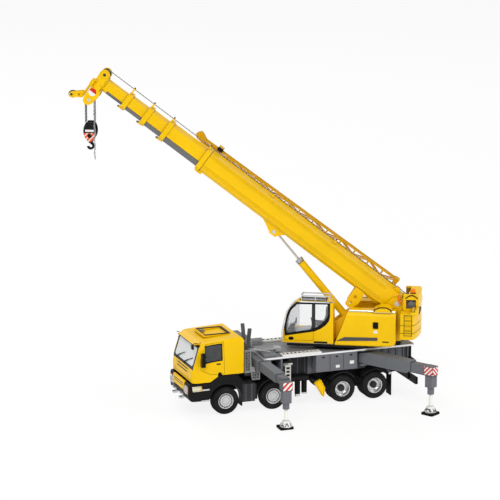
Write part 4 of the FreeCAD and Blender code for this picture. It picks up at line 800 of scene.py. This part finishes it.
# ---- deck rack ------------------------------------------------------------------------------------
# Ahead of the crane two ladders lie on edge along the lockers. Two plain boxes and two bent pipes
# stand beside them, all of dull zinc.
rack = Shape(TRUCK)
for v in (-15.4, -11.8, 11.8, 15.4):
    rack.block((54.2, 75.2), (v - 0.35, v + 0.35), (45.2, 46.6))
for u in range(55, 76, 3):
    for low, high in ((-15.4, -11.8), (11.8, 15.4)):
        rack.block((u - 0.35, u + 0.35), (low, high), (45.5, 46.1))
rack.block((48.6, 54), (6.2, 13.8), (42.6, 45.6), lean=(0, 0.2))
rack.block((68.4, 72.6), (-7.4, -1.4), (44.2, 48.4))
rack.cord([(70, 4.2, 45.4), (70, 4.2, 49.4), (73.4, 4.2, 50.6), (77.4, 4.2, 50.6)], 0.5)
rack.cord([(60, 19.4, 44.8), (66, 18.8, 46.2), (73, 15.6, 47.4)], 0.45)
rack.done("deck_rack", "truck", finish("rack_zinc", TRUCK, (0.42, 0.425, 0.43), rough=0.35, metal=0.4),
          "grey_frame", round_off=0.1)

# ---- toolboxes and equipment ----------------------------------------------------------------------
# Grey lockers with black latches and bare white tags line both sides. Beside them hang black air
# cylinders with bright caps, a yellow wheel wedge and a pale metal ladder.


def toolbox_marks(paint, x, y, z):
    face = (abs(y) > 24.3) * (z > 26)
    tags = face * (patch(x, z, (-7, -3.4), (30.4, 33)).either(patch(x, z, (5, 8.2), (28.4, 30.6))))
    latches = face * (patch(x, z, (-5.4, -3.4), (37, 38.2)).either(patch(x, z, (6.4, 8.4), (37, 38.2)))
                      .either(patch(x, z, (17.6, 19.6), (37, 38.2))))
    tanks = x.between(29, 40.7) * (z < 20.1)
    cap = tanks * (z < 9.6)
    rack = x.between(28.9, 44.1) * z.between(19.5, 23.1)
    wedge = x.between(16.8, 25.5) * (z < 20.2) * (abs(y) > 22.1)
    wedge_line = wedge * line(edge_distance(x, z, [(18.6, 6.6), (24, 16.8), (20.4, 18.4), (17.8, 13)]), 0.35)
    stay = x.between(18.9, 24.1) * z.between(16.5, 18.7) * (abs(y) < 22.2)
    ladder = (x > 43.9) * (abs(y) > 25)
    machinery = (x > 27) * (z > 24) * (abs(y) < 25)
    return [(tanks, BLACK, 0.16), (cap, SILVER, 0.22, 0.95), (rack.either(stay), CHARCOAL, 0.5),
            (wedge, YELLOW, 0.3), (wedge_line, (0.55, 0.28, 0.002), 0.4), (tags, WHITE, 0.4),
            (latches, BLACK, 0.4), (ladder, (0.6, 0.585, 0.55), 0.35, 0.6),
            (machinery, (0.05, 0.052, 0.056), 0.45)]


coat(finish("toolbox_paint", TRUCK, FRAME_GREY, toolbox_marks, rough=0.42), "toolboxes_left",
     "toolboxes_right")

# ---- outriggers -----------------------------------------------------------------------------------
# Box beams slide out at the front and swing out at the rear, with grey jacks at their ends. Chevron
# plates in red and white mark the jack heads, and pale rods stand in bright cups on black pads.
HAZARD_RED = (0.62, 0.02, 0.015)
jack_paint = finish("jack_paint", TRUCK, FRAME_GREY, lambda paint, x, y, z: [
    (line(abs(z - 30.4) - 0.4, 0.2) * (abs(y) > 20), BLACK, 0.6)], rough=0.4)
coat(finish("beam_paint", TRUCK, (0.16, 0.17, 0.185), rough=0.42), "outrigger_housing",
     *[f"{end}_outrigger_beam_{side}" for end in ("front", "rear") for side in ("left", "right")])
coat(jack_paint,
     *[f"{end}_outrigger_jack_{side}" for end in ("front", "rear") for side in ("left", "right")])


def foot_marks(paint, x, y, z):
    pad = z < 1.65
    rod = z > 6.3
    holes = z.between(2.6, 4.9) * ((((x + y * 0.6) % 2.7) < 0.9).either(((y - x * 0.6) % 2.9) < 0.8))
    ribs = pad * (((x + y) % 1.6) < 0.3)
    return [(rod, (0.86, 0.85, 0.78), 0.25, 0.0), (pad, BLACK, 0.6, 0.0), (ribs, CHARCOAL, 0.6, 0.0),
            (holes, (0.1, 0.1, 0.1), 0.5, 0.0)]


coat(finish("foot_casting", TRUCK, (0.8, 0.8, 0.79), foot_marks, rough=0.42, metal=0.1),
     *[f"{end}_outrigger_foot_{side}" for end in ("front", "rear") for side in ("left", "right")])


def hazard(name, place, along, up, width=2.2, flip=1):
    """Diagonal red and white bands; along and up pick two axes of the place."""
    paint = Paint(name, roughness=0.35, coat=0.2)
    point = paint.local(place)
    slope = point[along] * flip + point[up]
    band = ((slope + 100) % (width * 2)) < width
    # Painted shade: the bands turn dark red in corners and gaps.
    paint.feed("Base Color", paint.blend(paint.painted_corner_shade(0.6), (0.2, 0.05, 0.04),
                                         paint.blend(band, WHITE, HAZARD_RED)))
    paint.feed("Roughness", 0.3 + paint.noise(1.2, 3) * 0.15)
    paint.bump(band * 1.0, 0.03)
    return paint


JACK_Y = 72.8
for side, name, x in ((1, "left", 67.5), (-1, "right", 57.5)):
    plate = hazard(f"front_chevron_{name}", TRUCK, 0, 2, flip=side)
    plate_shape = Shape(TRUCK)
    plate_shape.block((x - 3.6, x + 3.6), sorted(((JACK_Y + 3.45) * side, (JACK_Y + 3.7) * side)),
                      (30.2, 36.4))
    plate_shape.done(f"chevron_side_{name}", f"front_leg_{name}", plate, "silver", round_off=0.08)

LEG_COS, LEG_SIN = 0.5, 0.8660254
for side, name in SIDES:
    hinge = spot(f"rear_swing_{name}")
    outward = Vector((-LEG_COS, LEG_SIN * side, 0))
    SWING = Place((hinge.x, hinge.y, 0), outward, (-outward.y, outward.x, 0))
    for flank, label in ((1, "front"), (-1, "back")):
        plate = hazard(f"rear_chevron_{name}_{label}", SWING, 0, 2, width=1.7, flip=flank)
        shape = Shape(SWING).block((60.15, 67.9), sorted((3.46 * flank, 3.72 * flank)), (31.4, 37.6))
        shape.done(f"rear_chevron_{name}_{label}", f"rear_leg_{name}", plate, "silver", round_off=0.08)
    plate = hazard(f"rear_end_chevron_{name}", SWING, 1, 2, width=1.7)
    shape = Shape(SWING).block((68.0, 68.25), (-3.3, 3.3), (31.4, 37.6))
    shape.done(f"rear_end_chevron_{name}", f"rear_leg_{name}", plate, "silver", round_off=0.08)

# ---- slewing frame --------------------------------------------------------------------------------
# Welded side plates stand on the slewing ring and carry the boom's foot pin. They are painted yellow
# over a dark ring and base.


def slew_marks(paint, x, y, z):
    base = z < 47.3
    pin = (abs(y) > 10.15) * (z > 70)
    return [(base, CHARCOAL, 0.5), (pin, SILVER, 0.3)]


coat(finish("slew_frame_paint", UPPER, YELLOW, slew_marks, rough=0.3, coat_weight=0.4), "slew_frame")

# ---- engine housings ------------------------------------------------------------------------------
# Yellow hoods stand both sides of the boom, each with an arched air vent edged in black on top. The
# left one alone has a dark stripe, and both have a black handle and a bare white tag.
VENT_SIDE = [(-47, 70), (-32.4, 70), (-33.4, 75.2), (-38, 77), (-43, 77), (-46.6, 75)]


def housing_marks(paint, x, y, z):
    side = abs(y) > 24.2
    band = edge_distance(x, z, [(-36.3, 50.8), (-4.6, 49.6), (-11, 52.8), (-36.3, 53.2)])
    stripe = (band < 0) * side * (y > 0)
    lock = patch(x, z, (-36.8, -32.6), (60.2, 65.4)) * side
    tag = patch(x, z, (-36.2, -33.2), (56.6, 58.8)) * side
    vent = (z > 73.2)
    lip = (z > 72.4) * (z < 73.1) * (abs(y) > 20)
    slot = patch(x, z, (-45, -40), (49.4, 50.4)) * side
    arch = vent * (abs(y) > 22.4) * (edge_distance(x, z, VENT_SIDE) > -0.75)
    return [(stripe, (0.075, 0.075, 0.075), 0.4), (lock, BLACK, 0.35), (tag, WHITE, 0.4),
            (arch, BLACK, 0.4), (lip, (0.6, 0.5, 0.2), 0.3), (slot, BLACK, 0.4)]


housing_paint = finish("housing_enamel", UPPER, YELLOW, housing_marks, rough=0.27, coat_weight=0.5,
                       grain=0.006)
coat(housing_paint, "housing_left")

# ---- far hood -------------------------------------------------------------------------------------
# The right hood is a plain block of the same paint with a vent and a raised door. It is low beside
# the cab, so that one sees past it through the windows.
far_hood = Shape(UPPER)
far_hood.prism("y", -24.4, -10.6, [(33, 46), (33.4, 47.6), (-4.4, 48.6), (-13.2, 73), (-50, 73), (-50, 48),
                                   (-46, 46)])
far_hood.prism("y", -23.5, -11.5, [(-46.9, 72.6), (-46.6, 75), (-43, 76.9), (-38, 76.9), (-33.5, 75.2),
                                   (-32.5, 72.6)])
far_hood.prism("y", -24.45, -24.3, [(-30, 54), (-14, 54), (-16.6, 66), (-30, 66)])
far_hood.done("far_hood", "superstructure", housing_paint, "yellow_paint", round_off=0.5,
              replaces=["housing_right"])

# ---- hood edge rails ------------------------------------------------------------------------------
# A bright rail lies along the outer edge of each hood's roof and turns in at the front, beside the
# boom.
for side, name in SIDES:
    edge_rail = Shape(UPPER).cord([(-14.4, 21.4 * side, 73.3), (-30, 21.8 * side, 73.35),
                                   (-49.4, 21.8 * side, 73.3)], 0.42)
    edge_rail.cord([(-14.4, 12.2 * side, 73.2), (-14.4, 21.4 * side, 73.3)], 0.42)
    edge_rail.done(f"hood_edge_rail_{name}", "superstructure", rim_plate, "silver")

# ---- counterweight and winch ----------------------------------------------------------------------
# Cast yellow slabs are stacked behind the housings with a ladder of black rungs. The hood over the
# winch has a window that shows the grey drum, and an orange beacon stands on top.


def weight_marks(paint, x, y, z):
    side = (abs(y) > 23.9) * z.between(55, 72.2)
    rungs = side * x.between(-62.4, -56.6) * (((z - 55.2) % 4.0) < 0.4)
    frame_line = side * ((abs(x + 62.4) < 0.22).either(abs(x + 56.6) < 0.22))
    joints = ((abs(z - 57.35) < 0.22).either(abs(z - 63.55) < 0.22))
    beacon = (z > 85.55)
    lens_zone = (z > 86.3)
    # Painted shade: the inside of the winch hood, between its sides, is painted a darker copy of the yellow.
    inner = (abs(y) < 12.7) * (z > 60) * (z < 84.4) * (x > -66.5)
    rim = (line(oblong(x, z, (-64.4, -57.4), (74.6, 81)), 0.6)) * (abs(y) > 13.5)
    return [(joints, (0.12, 0.06, 0.002), 0.5), (inner, (0.3, 0.17, 0.002), 0.5),
            (rungs.either(frame_line), BLACK, 0.45), (rim, BLACK, 0.4), (beacon, BLACK, 0.4),
            (lens_zone, (0.95, 0.2, 0.005), 0.12)]


coat(finish("counterweight_enamel", UPPER, YELLOW, weight_marks, rough=0.28, coat_weight=0.45, grain=0.008),
     "counterweight")

# ---- hood trim and winch motor --------------------------------------------------------------------
# A black trim strip bends over the top of each side of the winch hood. The winch motor by the boom
# foot is plain orange.
for side, name in SIDES:
    trim = Shape(UPPER)
    bow = [(-56.6 - 9.6 * step / 14, 82.0 + 2.5 * math.sin(math.pi * step / 14)) for step in range(15)]
    strips = [[trim.put(u, v * side, w + rise) for u, w in bow] for v, rise in
              ((14.02, 0), (14.02, 0.75), (14.35, 0.75), (14.35, 0), (14.02, 0))]
    trim.skin(strips, closed=False, caps=False)
    trim.done(f"hood_trim_{name}", "superstructure", black_trim, "dark_grey")
motor = Shape(UPPER)
motor.lathe("y", (-52.4, 11.4, 79.4), [(0.001, 2.6), (1.1, 2.6), (1.5, 2.1), (1.5, 0.4), (1.1, 0.2),
                                       (1.1, -1.0)], 20)
motor.lathe("z", (-51.6, 12.6, 81), [(1.1, 0), (1.1, 3.2), (0.7, 3.8), (0.001, 3.9)], 16)
motor.done("winch_motor", "superstructure", finish("motor_lacquer", UPPER, (0.75, 0.2, 0.01), rough=0.35),
           "yellow_paint")

# ---- winch drum -----------------------------------------------------------------------------------
# The plated drum carries many close turns of grey rope between its flanges. Thin dark lines of
# painted shade part the turns.


def drum_marks(paint, x, y, z):
    turns = (abs(y) < 7.3)
    # Painted shade: dark lines between the turns of rope.
    lay = turns * ((y % 0.7) < 0.22)
    return [(turns, (0.16, 0.16, 0.165), 0.4, 0.6), (lay, (0.05, 0.05, 0.052), 0.5)]


coat(finish("drum_plating", UPPER, (0.3, 0.3, 0.31), drum_marks, rough=0.35, metal=0.6), "winch_drum")

# ---- crane cab ------------------------------------------------------------------------------------
# The operator's cab is yellow with black rubber round its large clear windows. Silver rails run round
# the roof. Its inside is grey, black at the seat and console, with a painted pool of bluish light on the
# wall beside the boom. The front windows are painted pale as a painted reflection.
DOOR_WINDOW = [(2.2, 68.4), (2.9, 65.6), (5.0, 62.7), (8.4, 60.2), (13, 58), (34, 54.2), (34.6, 62),
               (31, 72.4), (26, 77.4), (2.2, 77.8)]


def cabin_marks(paint, x, y, z):
    side = y > 23
    window = edge_distance(x, z, DOOR_WINDOW)
    gasket = (window < 1.7) * side
    bar = side * (window < 0.9) * (abs(x - 13.6) < 0.9)
    front = (x > 22) * (y > 10.4)
    screen = edge_distance(y, z, [(11.6, 49.2), (23.6, 49.2), (22.8, 78.6), (12.4, 78.6)])
    surround = front * (screen < 0) * (x > 26)
    roof = patch(x, y, (3.2, 24.2), (12.2, 22.4)) * (z > 79.5) * (z < 81.3)
    door = line(edge_distance(x, z, [(13.4, 49), (35.6, 49), (36.4, 58), (32.4, 73.6), (26.4, 79.2),
                                     (13.4, 79.2)]), 0.3) * side
    sill = (z < 46.9) * (abs(y) > 10)
    step = patch(x, z, (2.4, 13), (47.1, 48.6)) * side
    inside = (y > 11.4) * (y < 23.2) * (x > -1.4) * (x < 35.8) * (z > 47.3) * (z < 79.9)
    inside = inside * ((z + x * 0.9) < 102)
    seating = inside * (y > 13.3) * (y < 21.7) * (((x < 17.2) * (z < 68.2)).either((x > 25.8) * (z < 58.2)))
    oval = (paint.length_of((x - 30.6) * 0.62, z - 50.4) < 1.3) * side
    rails = z > 81.0
    # Painted light: a pale bluish pool on the inside wall beside the boom.
    light = inside * (y < 12.7) * (z > 52)
    return [(door, (0.2, 0.1, 0.002), 0.5), (inside, (0.16, 0.17, 0.19), 0.6), (light, (0.8, 0.9, 1.0), 0.6),
            (seating, (0.02, 0.021, 0.024), 0.6), (gasket, BLACK, 0.35), (bar, BLACK, 0.4),
            (surround, BLACK, 0.3), (roof, BLACK, 0.35), (sill, SILVER, 0.3, 0.6),
            (oval.either(step), BLACK, 0.35), (rails, SILVER, 0.25, 0.9)]


cabin_paint = finish("cabin_enamel", UPPER, YELLOW, cabin_marks, rough=0.27, coat_weight=0.5, grain=0.006)
coat(cabin_paint, "crane_cab")
# Painted reflection: the front windows are pale grey and less clear. The black bar is the door window's
# frame.
coat(pane("cabin_glazing", (0.85, 0.88, 0.92), 0.06, UPPER, lambda x, y, z: [
    ((abs(x - 13.3) < 1.35) * (y > 22), BLACK, 1.0),
    ((x > 25.5) * (y < 22.4) * (z > 50), (0.7, 0.72, 0.74), 0.3)]), "crane_cab_glass")

# ---- operator's seat ------------------------------------------------------------------------------
# A black padded seat with arm rests and levers faces a console with a round steering wheel. It tilts
# with the cab.
seat = Shape(UPPER)
seat.prism("y", 14.0, 21.0, [(3.4, 54), (1.4, 68), (0.9, 73.6), (2.2, 75.2), (4.0, 74.4), (4.4, 68),
                             (6.4, 56.6), (15.8, 57.4), (17, 55.6), (16.2, 53.9)])
for v in (12.9, 21.4):
    seat.prism("y", v, v + 1.2, [(5.2, 60.2), (14.6, 60.8), (15.2, 62.2), (14, 62.8), (5.0, 62.2)])
    seat.cord([(14.2, v + 0.6, 62.2), (15.2, v + 0.6, 65.4), (15.4, v + 0.6, 66.8)], 0.4)
seat.block((29.6, 33.6), (13.6, 21.2), (54, 59.6), lean=(-1.4, 0))
seat.cord([(31, 17.4, 58.6), (27.6, 17.4, 62.6)], 0.5)
seat.lathe("x", (27.4, 17.4, 62.8), [(2.2, -0.3), (2.6, 0.1), (2.2, 0.5), (1.9, 0.1), (2.2, -0.3)], 20)
seat_cloth = finish("seat_cloth", UPPER, (0.012, 0.0125, 0.014), rough=0.7, grain=0.05)
seat.done("cab_seat", "operator_cab", seat_cloth, "dark_grey", round_off=0.45)

# ---- crane cab edge rail --------------------------------------------------------------------------
# A bright rail runs down the cab's front edge from the roof and across its foot. It tilts with the
# cab.
guard_rail = Shape(UPPER).cord([(22.8, 22.4, 83.9), (26.4, 22.9, 81.6), (30.6, 23.6, 77), (34, 24.2, 71.4),
                                (36.2, 24.7, 64), (37.4, 24.9, 56), (37.7, 24.9, 47.4)], 0.5)
guard_rail.cord([(37.7, 24.9, 47.4), (38.0, 17, 47.2), (38.0, 11.4, 47.2)], 0.45)
guard_rail.done("cab_edge_rail", "operator_cab", rim_plate, "silver")

# ---- boom -----------------------------------------------------------------------------------------
# Five folded box sections nest in each other. The base is yellow all round. The inner ones are yellow
# above and grey below, with yellow collars at their front ends.


def boom_base_marks(paint, x, y, z):
    joint = (abs(x - 183.9) < 0.2)
    guides = (z > 8.9) * (abs(y) < 2.7)
    pin = (abs(x - 109.1) < 1.4) * (abs(z + 14.6) < 1.4) * (abs(y) > 4.75)
    hinge = (abs(x) < 2.2) * (abs(z) < 2.2) * (abs(y) > 7.7)
    return [(joint, (0.3, 0.16, 0.002), 0.4), (guides, CHARCOAL, 0.5),
            (pin.either(hinge), SILVER, 0.3)]


coat(finish("boom_enamel", BOOM, YELLOW, boom_base_marks, rough=0.27, coat_weight=0.5, grain=0.006),
     "boom_base")


def section_marks(front):
    def marks(paint, x, y, z):
        bare = (z < -5.2) * (x < front - 4.05)
        edge = (abs(z + 5.2) < 0.18) * (x < front - 4.05)
        guide = (z > 8.9) * (abs(y) < 2.4)
        tip = (x > front + 1.3).either((z < -10.2) * (x > front + 0.6))
        return [(bare, (0.16, 0.16, 0.165), 0.3, 0.2), (edge, (0.1, 0.07, 0.01), 0.5),
                (guide, CHARCOAL, 0.5), (tip, (0.25, 0.18, 0.02), 0.45)]
    return marks


SECTION_FRONTS = ((1, 224), (2, 243), (3, 262), (4, 281))
for number, front in SECTION_FRONTS:
    coat(finish(f"section_{number}_finish", BOOM, YELLOW, section_marks(front), rough=0.3, coat_weight=0.3,
                grain=0.006), f"boom_section_{number}")

# ---- boom head and sheaves ------------------------------------------------------------------------
# Two yellow cheek plates, with a disc half red and half white on each, hold the sheave pins. The
# sheaves are dark green with thin black lines of painted shade in their grooves, and hinge lugs stand
# out on the left.
HEAD_X, HEAD_Z = 285.8, 4.3
HOIST_X, HOIST_Z = 284.3, -19.1
POST_X, POST_Y = 290, 7.2
TIP_X, TIP_Z = 297.9, -24.4
ARM_X, ARM_Z = 293.2, -20.7


def head_marks(paint, x, y, z):
    away = paint.length_of(x - 285.6, z + 12.4)
    disc = (away < 3.1) * (abs(y) > 5.2)
    red = disc * (z > -12.4)
    pins = (abs(y) > 5.55) * (paint.length_of(x - HOIST_X, z - HOIST_Z) < 1.3)
    hub = (paint.length_of(x - HEAD_X, z - HEAD_Z) < 1.3) * (abs(y) > 5.5)
    return [(disc, WHITE, 0.35), (red, HAZARD_RED, 0.35), (pins, SILVER, 0.3, 0.9),
            (hub, (0.05, 0.06, 0.04), 0.4)]


head_paint = finish("head_enamel", BOOM, YELLOW, head_marks, rough=0.3, coat_weight=0.4)
crown = [(HEAD_X + 4.1 * math.cos(math.radians(angle)), HEAD_Z + 4.1 * math.sin(math.radians(angle)))
         for angle in range(-10, 171, 15)]
CHEEK = crown + [(281, -8), (279.8, -12), (280.8, -20), (282.4, -22.8), (285.2, -23.8), (288.2, -22.4),
                 (289.4, -18), (288.9, -10)]
head = Shape(BOOM)
for low, high in ((-5.4, -4.2), (4.2, 5.4)):
    head.prism("y", low, high, CHEEK)
head.block((281, 282.2), (-5.4, 5.4), (-9, 2.6))
head.block((284.6, 287.6), (-4.4, 4.4), (-13.8, -2.8))
for place, rim, depth in (((HEAD_X, 0, HEAD_Z), 3.1, 5.75), ((HOIST_X, 0, HOIST_Z), 2.2, 5.7)):
    for side in (1, -1):
        head.lathe("y", place, [(0.001, depth * side), (rim - 0.3, depth * side),
                                (rim, (depth - 0.25) * side), (rim, 5.2 * side)], 28)
    head.lathe("y", place, [(0.001, -5.3), (1, -5.3), (1, 5.3), (0.001, 5.3)], 16)
for height in (-8.9, -3.3):
    head.prism("z", height, height + 0.7, [(286.6, 4.9), (289.2, 4.9), (291.1, 6.2), (291.1, 7.9),
                                           (290, 8.5), (288.8, 7.9)])
head.lathe("z", (POST_X, POST_Y, 0), [(0.001, -9.3), (0.7, -9.3), (0.7, -2.2), (0.001, -2.2)], 16)
for u, w in ((283.2, -4.6), (287.2, -5.4), (286.9, -8.2)):
    head.lathe("y", (u, 0, w), [(0.001, 5.75), (0.5, 5.75), (0.5, 5.2)], 8)
head.done("head_plates", "section_4", head_paint, "boom_paint", round_off=0.14, replaces=["boom_head"])

# Painted shade: thin black lines in the sheaves' grooves.
sheave_paint = finish("sheave_plastic", BOOM, (0.035, 0.05, 0.035), lambda paint, x, y, z: [
    (abs(y).between(1.9, 2.05).either(abs(y) < 0.12), BLACK, 0.5)], rough=0.35)
coat(sheave_paint, "head_sheave", "hoist_sheaves")

# ---- folding nose ---------------------------------------------------------------------------------
# The nose hangs on its pin at the head's side. A slim post runs down to the forked arm, whose end
# carries a small dark sheave.
nose = Shape(BOOM)
nose.lathe("z", (POST_X, POST_Y, 0), [(0.78, -8.1), (1.2, -8.1), (1.2, -3.4), (0.78, -3.4), (0.78, -8.1)],
           24)
nose.block((290.6, 291.6), (-2.9, 7.6), (-7.6, -4.4))
nose.block((289.9, 291.5), (-2.6, 2.6), (-21.4, -4.4))
for low, high in ((-2.9, -1.9), (1.9, 2.9)):
    nose.prism("y", low, high, [(290.1, -16.6), (292.8, -17.2), (296.4, -20.6), (298.8, -22.1),
                                (299.8, -24.2), (299.1, -26.1), (297.3, -26.8), (295.4, -26.2), (293.8, -24),
                                (290.1, -21.8)])
for u, w, rim in ((TIP_X, TIP_Z, 2.0), (ARM_X, ARM_Z, 1.1), (291.3, -18.9, 0.8)):
    nose.lathe("y", (u, 0, w), [(0.001, -3.3), (rim - 0.2, -3.3), (rim, -3.1), (rim, 3.1), (rim - 0.2, 3.3),
                                (0.001, 3.3)], 20)
nose.done("nose_fork", "nose", finish("nose_enamel", BOOM, YELLOW, lambda paint, x, y, z: [
    ((paint.length_of(x - TIP_X, z - TIP_Z) < 1.1) * (abs(y) > 3.0), (0.05, 0.06, 0.04), 0.4),
    ((paint.length_of(x - ARM_X, z - ARM_Z) < 0.6) * (abs(y) > 3.0), BLACK, 0.4)],
    rough=0.32, coat_weight=0.3), "boom_paint", round_off=0.12, replaces=["boom_nose"])
nose_wheel = Shape(BOOM).lathe("y", (TIP_X, 0, TIP_Z), [(0.9, -1.2), (2.75, -1.2), (2.1, 0), (2.75, 1.2),
                                                        (0.9, 1.2)], 28)
nose_wheel.done("nose_sheave", "nose", sheave_paint, "boom_paint")

# ---- luffing cylinder -----------------------------------------------------------------------------
# One fat yellow barrel with a bright polished rod lifts the boom. A silver gland ring closes it.


def barrel_marks(paint, x, y, z):
    gland = (x > -31.8)
    ring_line = (abs(x + 32.1) < 0.2)
    return [(gland, (0.5, 0.5, 0.5), 0.3, 0.8), (ring_line, BLACK, 0.5)]


coat(finish("barrel_enamel", RAM, YELLOW, barrel_marks, rough=0.27, coat_weight=0.5), "luffing_barrel")
coat(plated("polished_rod", (0.7, 0.71, 0.73), 0.14), "luffing_rod")

# ---- stowed jib -----------------------------------------------------------------------------------
# A welded lattice extension lies along the boom's side. It is painted a darker yellow than the boom,
# as painted shade, with a charcoal mount near its front end.
# Painted shade: the jib's yellow is darkened because it lies in shadow on the boom's far side.
coat(finish("jib_enamel", BOOM, (0.66, 0.36, 0.0005), lambda paint, x, y, z: [
    ((abs(x - 180.2) < 2.4) * (abs(y + 14) > 3.1), CHARCOAL, 0.45)],
    rough=0.32, coat_weight=0.3), "stowed_jib")

# ---- ropes ----------------------------------------------------------------------------------------
# Thin laid grey cord lies straight along the boom and carries the block in six falls.


def laid_cord(name, place, axis, across_axis):
    paint = Paint(name, roughness=0.6)
    point = paint.local(place)
    # Painted shade: the colour darkens between the strands, following the same wave as the bump.
    strand = paint.wave(point[axis] * 2.4 + point[across_axis] * 5.0)
    paint.feed("Base Color", paint.blend(strand, (0.1, 0.1, 0.1), (0.36, 0.355, 0.34)))
    paint.feed("Roughness", 0.5 + strand * 0.2)
    paint.bump(strand, 0.08)
    return paint


boom_cord = laid_cord("boom_cord", BOOM, 0, 1)
coat(boom_cord, "winch_rope")


def run_of(node):
    """Where a straight rope starts and ends, in millimetres along the boom."""
    thing = frame["nodes"][node]
    places = [(thing.matrix_world @ vertex.co - BOOM.origin).dot(BOOM.along) * 1000
              for vertex in thing.data.vertices]
    return min(places), max(places)


ROPE_RISE, ROPE_RADIUS = 8.2, 0.35
for number in (1, 2, 3, 4):
    start, end = run_of(f"boom_rope_{number}")
    run = Shape(BOOM).cord([(start, 0, ROPE_RISE), ((start + end) / 2, 0, ROPE_RISE), (end, 0, ROPE_RISE)],
                           ROPE_RADIUS)
    run = run.done(f"boom_run_{number}", None, boom_cord, "cord", replaces=[f"boom_rope_{number}"])
    BOOM.at(start, 0, ROPE_RISE)
    BOOM.at(end, 0, ROPE_RISE)
    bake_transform(run)
falls = Shape(FALLS)
FALL_BOTTOM = -18.0
for u in (-3.45, 3.45):
    for v in (-2.6, 0, 2.6):
        falls.cord([(u, v, 0), (u, v, FALL_BOTTOM / 2), (u, v, FALL_BOTTOM)], ROPE_RADIUS)
fall_ropes = falls.done("fall_ropes", None, laid_cord("falls_cord", FALLS, 2, 1), "cord",
                        replaces=["hoist_ropes"])
FALLS.at(0, 0, 0)
FALLS.at(0, 0, FALL_BOTTOM)
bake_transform(fall_ropes)

# ---- hook block -----------------------------------------------------------------------------------
# The block has black cheeks with a white band, and an orange red lower half with white flashes.
# Between them are dark sheaves, and round covers close their pins.


def block_marks(paint, x, y, z):
    cheek = abs(y) > 3.4
    band = cheek * z.between(-25.2, -23.5) * (abs(x) < 3.4)
    lower = (z < -26.2) * (abs(x) < 6)
    hub = paint.length_of(x, z + 28.3) < 1.7
    flash = ((x + z + 100) % 3.4) < 1.1
    return [(band, WHITE, 0.4), (lower * cheek, (0.75, 0.1, 0.01), 0.35),
            (lower * flash * cheek, WHITE, 0.35), (hub * cheek, BLACK, 0.3)]


block_paint = finish("block_enamel", FALLS, (0.006, 0.006, 0.0065), block_marks, rough=0.2, coat_weight=1.0)
block = Shape(FALLS)
half = [(2.6, -17.6), (3.6, -19.2), (4.6, -21.6), (5.0, -24.4), (4.9, -27), (3.9, -29.6), (2.6, -31.4),
        (1.4, -33)]
BLOCK_SIDE = half + [(-u, w) for u, w in reversed(half)]
for low, high in ((-4.6, -3.3), (3.3, 4.6)):
    block.prism("y", low, high, BLOCK_SIDE)
block.block((-2.4, 2.4), (-3.4, 3.4), (-32.8, -27))
for side in (1, -1):
    for w, rim in ((-21.4, 1.9), (-28.3, 1.5)):
        block.lathe("y", (0, 0, w), [(0.001, 4.9 * side), (rim - 0.3, 4.9 * side), (rim, 4.75 * side),
                                     (rim, 4.4 * side)], 24)
block.lathe("y", (0, 0, -22), [(0.001, -3.2), (3.4, -3.2), (2.9, -2.2), (3.4, -1.1), (2.9, 0), (3.4, 1.1),
                               (2.9, 2.2), (3.4, 3.2),
                              (0.001, 3.2)], 28)
block.lathe("z", (0, 0, 0), [(0.001, -33.1), (1.9, -33.1), (2.1, -32.2), (0.001, -32.2)], 20)
block.done("block_cheeks", "block", block_paint, "dark_grey", round_off=0.25, replaces=["hook_block"])

# ---- lifting chain --------------------------------------------------------------------------------
# A plated chain of oval links hangs beside the block, down past the hook. Every second link is
# turned a quarter, and it swings with the falls.
chain = Shape(FALLS)
LINK_PITCH = 1.5
LINKS = 30
CHAIN_SIDE = -1
for index in range(LINKS):
    middle = Vector((CHAIN_SIDE * (4.5 + 0.25 * math.sin(index * 0.9)), 6.7, -2.0 - LINK_PITCH * index))
    crossed = index % 2
    loop = []
    for step in range(13):
        angle = math.tau * step / 12
        sideways, rise = 0.52 * math.cos(angle), 0.98 * math.sin(angle)
        loop.append(middle + Vector((sideways * (1 - crossed), sideways * crossed, rise)))
    chain.cord(loop, 0.24, 6)
chain.done("lifting_chain", "falls", plated("chain_plating", (0.42, 0.43, 0.44), 0.3), "silver")

# ---- hook -----------------------------------------------------------------------------------------
# The forged hook is nearly black. It turns on its swivel below the block, and keeps the shape that
# it came with.
coat(finish("hook_forging", FALLS, (0.008, 0.008, 0.0085), rough=0.4), "hook")
